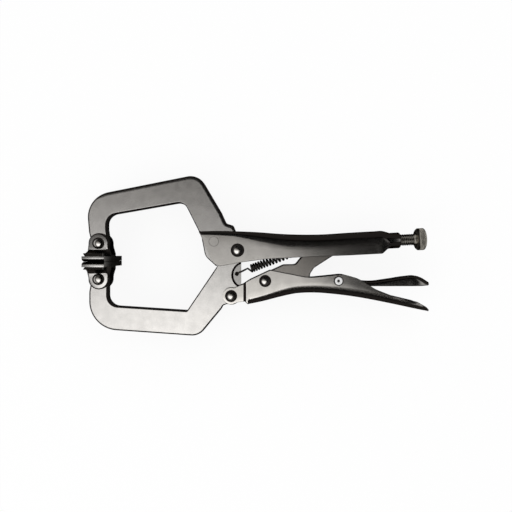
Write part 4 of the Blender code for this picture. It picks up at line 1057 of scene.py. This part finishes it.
class CLAMP_OT_stage(bpy.types.Operator):
    """Builds the pale floor, the soft light, the room that the metal reflects, and the camera"""

    bl_idname = "clamp.stage"
    bl_label = "Stage"

    def execute(self, context):
        scene = context.scene
        floor = bpy.data.meshes.new("floor")
        floor.from_pydata([(-9, -9, 0), (9, -9, 0), (9, 9, 0), (-9, 9, 0)], [], [(0, 1, 2, 3)])
        floor.materials.append(self.floor_finish(scene.clamp_colours))
        ground = bpy.data.objects.new("floor", floor)
        scene.collection.objects.link(ground)

        for name, place, size, power in (
            ("key", (-0.75, -0.75, 0.9), 0.9, 3.0),
            ("fill", (0.5, 0.9, 1.0), 1.2, 2.0),
        ):
            lamp = bpy.data.lights.new(name, "AREA")
            lamp.size = size
            lamp.energy = power
            held = bpy.data.objects.new(name, lamp)
            held.location = place
            held.rotation_euler = (-Vector(place)).to_track_quat("-Z", "Y").to_euler()
            held.visible_camera = False
            held.visible_glossy = False
            scene.collection.objects.link(held)
        scene.world = self.studio_world()

        view = bpy.data.cameras.new("camera")
        view.sensor_width = 36
        view.lens = FOCAL_PX / PHOTO_PX * 36
        view.shift_y = SHIFT_PX / PHOTO_PX
        view.clip_start = 0.01
        camera = bpy.data.objects.new("camera", view)
        camera.location = CAMERA_PLACE
        scene.collection.objects.link(camera)
        scene.camera = camera
        scene.view_settings.view_transform = "Standard"
        return {"FINISHED"}

    def floor_finish(self, colours):
        """Matt pale board with a faint shadow; metal sees it dark close by, a painted shadow where the clamp
        shades it.
        """
        made = bpy.data.materials.new("matt_pale_board")
        made.use_nodes = True
        tree = made.node_tree
        shader = tree.nodes["Principled BSDF"]
        shader.inputs["Base Color"].default_value = (*colours.floor, 1)
        shader.inputs["Roughness"].default_value = 0.9
        shader.inputs["Specular IOR Level"].default_value = 0.1
        path = add_node(tree, "ShaderNodeLightPath").outputs
        seen = worked(tree, "MAXIMUM", path["Is Camera Ray"], path["Is Transmission Ray"])
        share = worked(tree, "MAXIMUM", worked(tree, "MULTIPLY", seen, FLOOR_GLOW), path["Is Glossy Ray"])
        # Painted shadow: close by, metal sees the floor's glow fall away as if the clamp shaded it
        shade = ranged(tree, path["Ray Length"], *FLOOR_SHADE_REACH, -FLOOR_SHADE, 0.0)
        level = worked(tree, "ADD", 1.0, worked(tree, "MULTIPLY", path["Is Glossy Ray"], shade))
        glow = add_node(tree, "ShaderNodeEmission", Strength=level)
        mix = add_node(tree, "ShaderNodeMixShader")
        for socket, source in enumerate((share, shader.outputs[0], glow.outputs[0])):
            feed(tree, mix.inputs[socket], source)
        feed(tree, tree.nodes["Material Output"].inputs["Surface"], mix.outputs[0])
        return made

    def studio_world(self):
        """Plain light for the room; metal sees pale walls and, overhead, a softbox in a dark ceiling.

        A direction is read by its leans from straight up, x / z to the right and y / z to the back. The
        softbox is the product of three graded strips, and it ends, like the walls begin, by the whole
        lean, the root of the sum of the two squares.
        """
        world = bpy.data.worlds.new("studio")
        world.use_nodes = True
        tree = world.node_tree

        towards = add_node(tree, "ShaderNodeTexCoord").outputs["Generated"]
        axes = add_node(tree, "ShaderNodeSeparateXYZ", Vector=towards).outputs
        height = worked(tree, "MAXIMUM", axes["Z"], 0.02)
        across = worked(tree, "DIVIDE", axes["X"], height)
        down = worked(tree, "DIVIDE", axes["Y"], height)
        slant = worked(tree, "ADD", across, worked(tree, "MULTIPLY", down, BACK_SLANT))
        front = worked(tree, "SUBTRACT", across, worked(tree, "MULTIPLY", down, FRONT_SLANT))

        def graded(lean, stops):
            """Light by lean, through stops (lean, level), with lean 0 mid-ramp; the darker, the warmer."""
            made = add_node(tree, "ShaderNodeValToRGB", Fac=worked(tree, "ADD", lean, 0.5))
            ramp = made.color_ramp
            ramp.elements.remove(ramp.elements[1])
            for i, (position, level) in enumerate(stops):
                stop = ramp.elements.new(position + 0.5) if i else ramp.elements[0]
                stop.position = position + 0.5
                warm = 1 - 0.08 * max(0.0, 1 - level / 0.3)
                stop.color = (level, level * warm, level * warm**2, 1)
            return made.outputs["Color"]

        vector = "ShaderNodeVectorMath"
        lit = graded(down, SOFTBOX_BACK)
        for screen in (graded(slant, BACK_SCREEN), graded(front, FRONT_SCREEN)):
            lit = worked(tree, "MULTIPLY", lit, screen, vector)
        squares = [worked(tree, "MULTIPLY", lean, lean) for lean in (across, down)]
        lean = worked(tree, "SQRT", worked(tree, "ADD", *squares))
        inside = ranged(tree, lean, *SOFTBOX_EDGE, CEILING_LEVEL, SOFTBOX_LEVEL)
        box = worked(tree, "SCALE", lit, inside, vector)
        walls = ranged(tree, lean, *WALL_EDGE, 0.0, WALL_LEVEL)
        room = worked(tree, "ADD", box, walls, vector)
        path = add_node(tree, "ShaderNodeLightPath").outputs
        plain_light = worked(tree, "MAXIMUM", path["Is Camera Ray"], PLAIN_LEVEL)
        light = mixed(tree, path["Is Glossy Ray"], plain_light, room)
        feed(tree, tree.nodes["Background"].inputs["Color"], light)
        return world


class CLAMP_PT_sidebar(bpy.types.Panel):
    """Lists the sizes, the colours and the pieces of the clamp"""

    bl_label = "Locking C-clamp"
    bl_idname = "CLAMP_PT_sidebar"
    bl_space_type = "VIEW_3D"
    bl_region_type = "UI"
    bl_category = "Clamp"

    def draw(self, context):
        for group in (context.scene.clamp_sizes, context.scene.clamp_colours):
            box = self.layout.box()
            for name in group.bl_rna.properties.keys():
                if name not in ("rna_type", "name"):
                    box.prop(group, name)
        for operator in OPERATORS:
            self.layout.operator(operator.bl_idname)


OPERATORS = (
    CLAMP_OT_jaws,
    CLAMP_OT_upper_handle,
    CLAMP_OT_lower_handle,
    CLAMP_OT_toggle_link,
    CLAMP_OT_release_lever,
    CLAMP_OT_rivets,
    CLAMP_OT_pads,
    CLAMP_OT_screw,
    CLAMP_OT_spring,
    CLAMP_OT_stage,
)
CLASSES = (ClampSizes, ClampColours, *OPERATORS, CLAMP_PT_sidebar)


def register():
    """Makes the classes known and hangs the sizes and colours on the scene."""
    for entry in CLASSES:
        bpy.utils.register_class(entry)
    bpy.types.Scene.clamp_sizes = PointerProperty(type=ClampSizes)
    bpy.types.Scene.clamp_colours = PointerProperty(type=ClampColours)


def unregister():
    """Takes the sizes, the colours and the classes away again."""
    del bpy.types.Scene.clamp_colours
    del bpy.types.Scene.clamp_sizes
    for entry in reversed(CLASSES):
        bpy.utils.unregister_class(entry)


def main():
    """Builds every piece and the stage."""
    register()
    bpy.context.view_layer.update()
    bpy.ops.clamp.jaws()
    bpy.ops.clamp.upper_handle()
    bpy.ops.clamp.lower_handle()
    bpy.ops.clamp.toggle_link()
    bpy.ops.clamp.release_lever()
    bpy.ops.clamp.rivets()
    bpy.ops.clamp.pads()
    bpy.ops.clamp.screw()
    bpy.ops.clamp.spring()
    bpy.ops.clamp.stage()


if __name__ == "__main__":
    main()
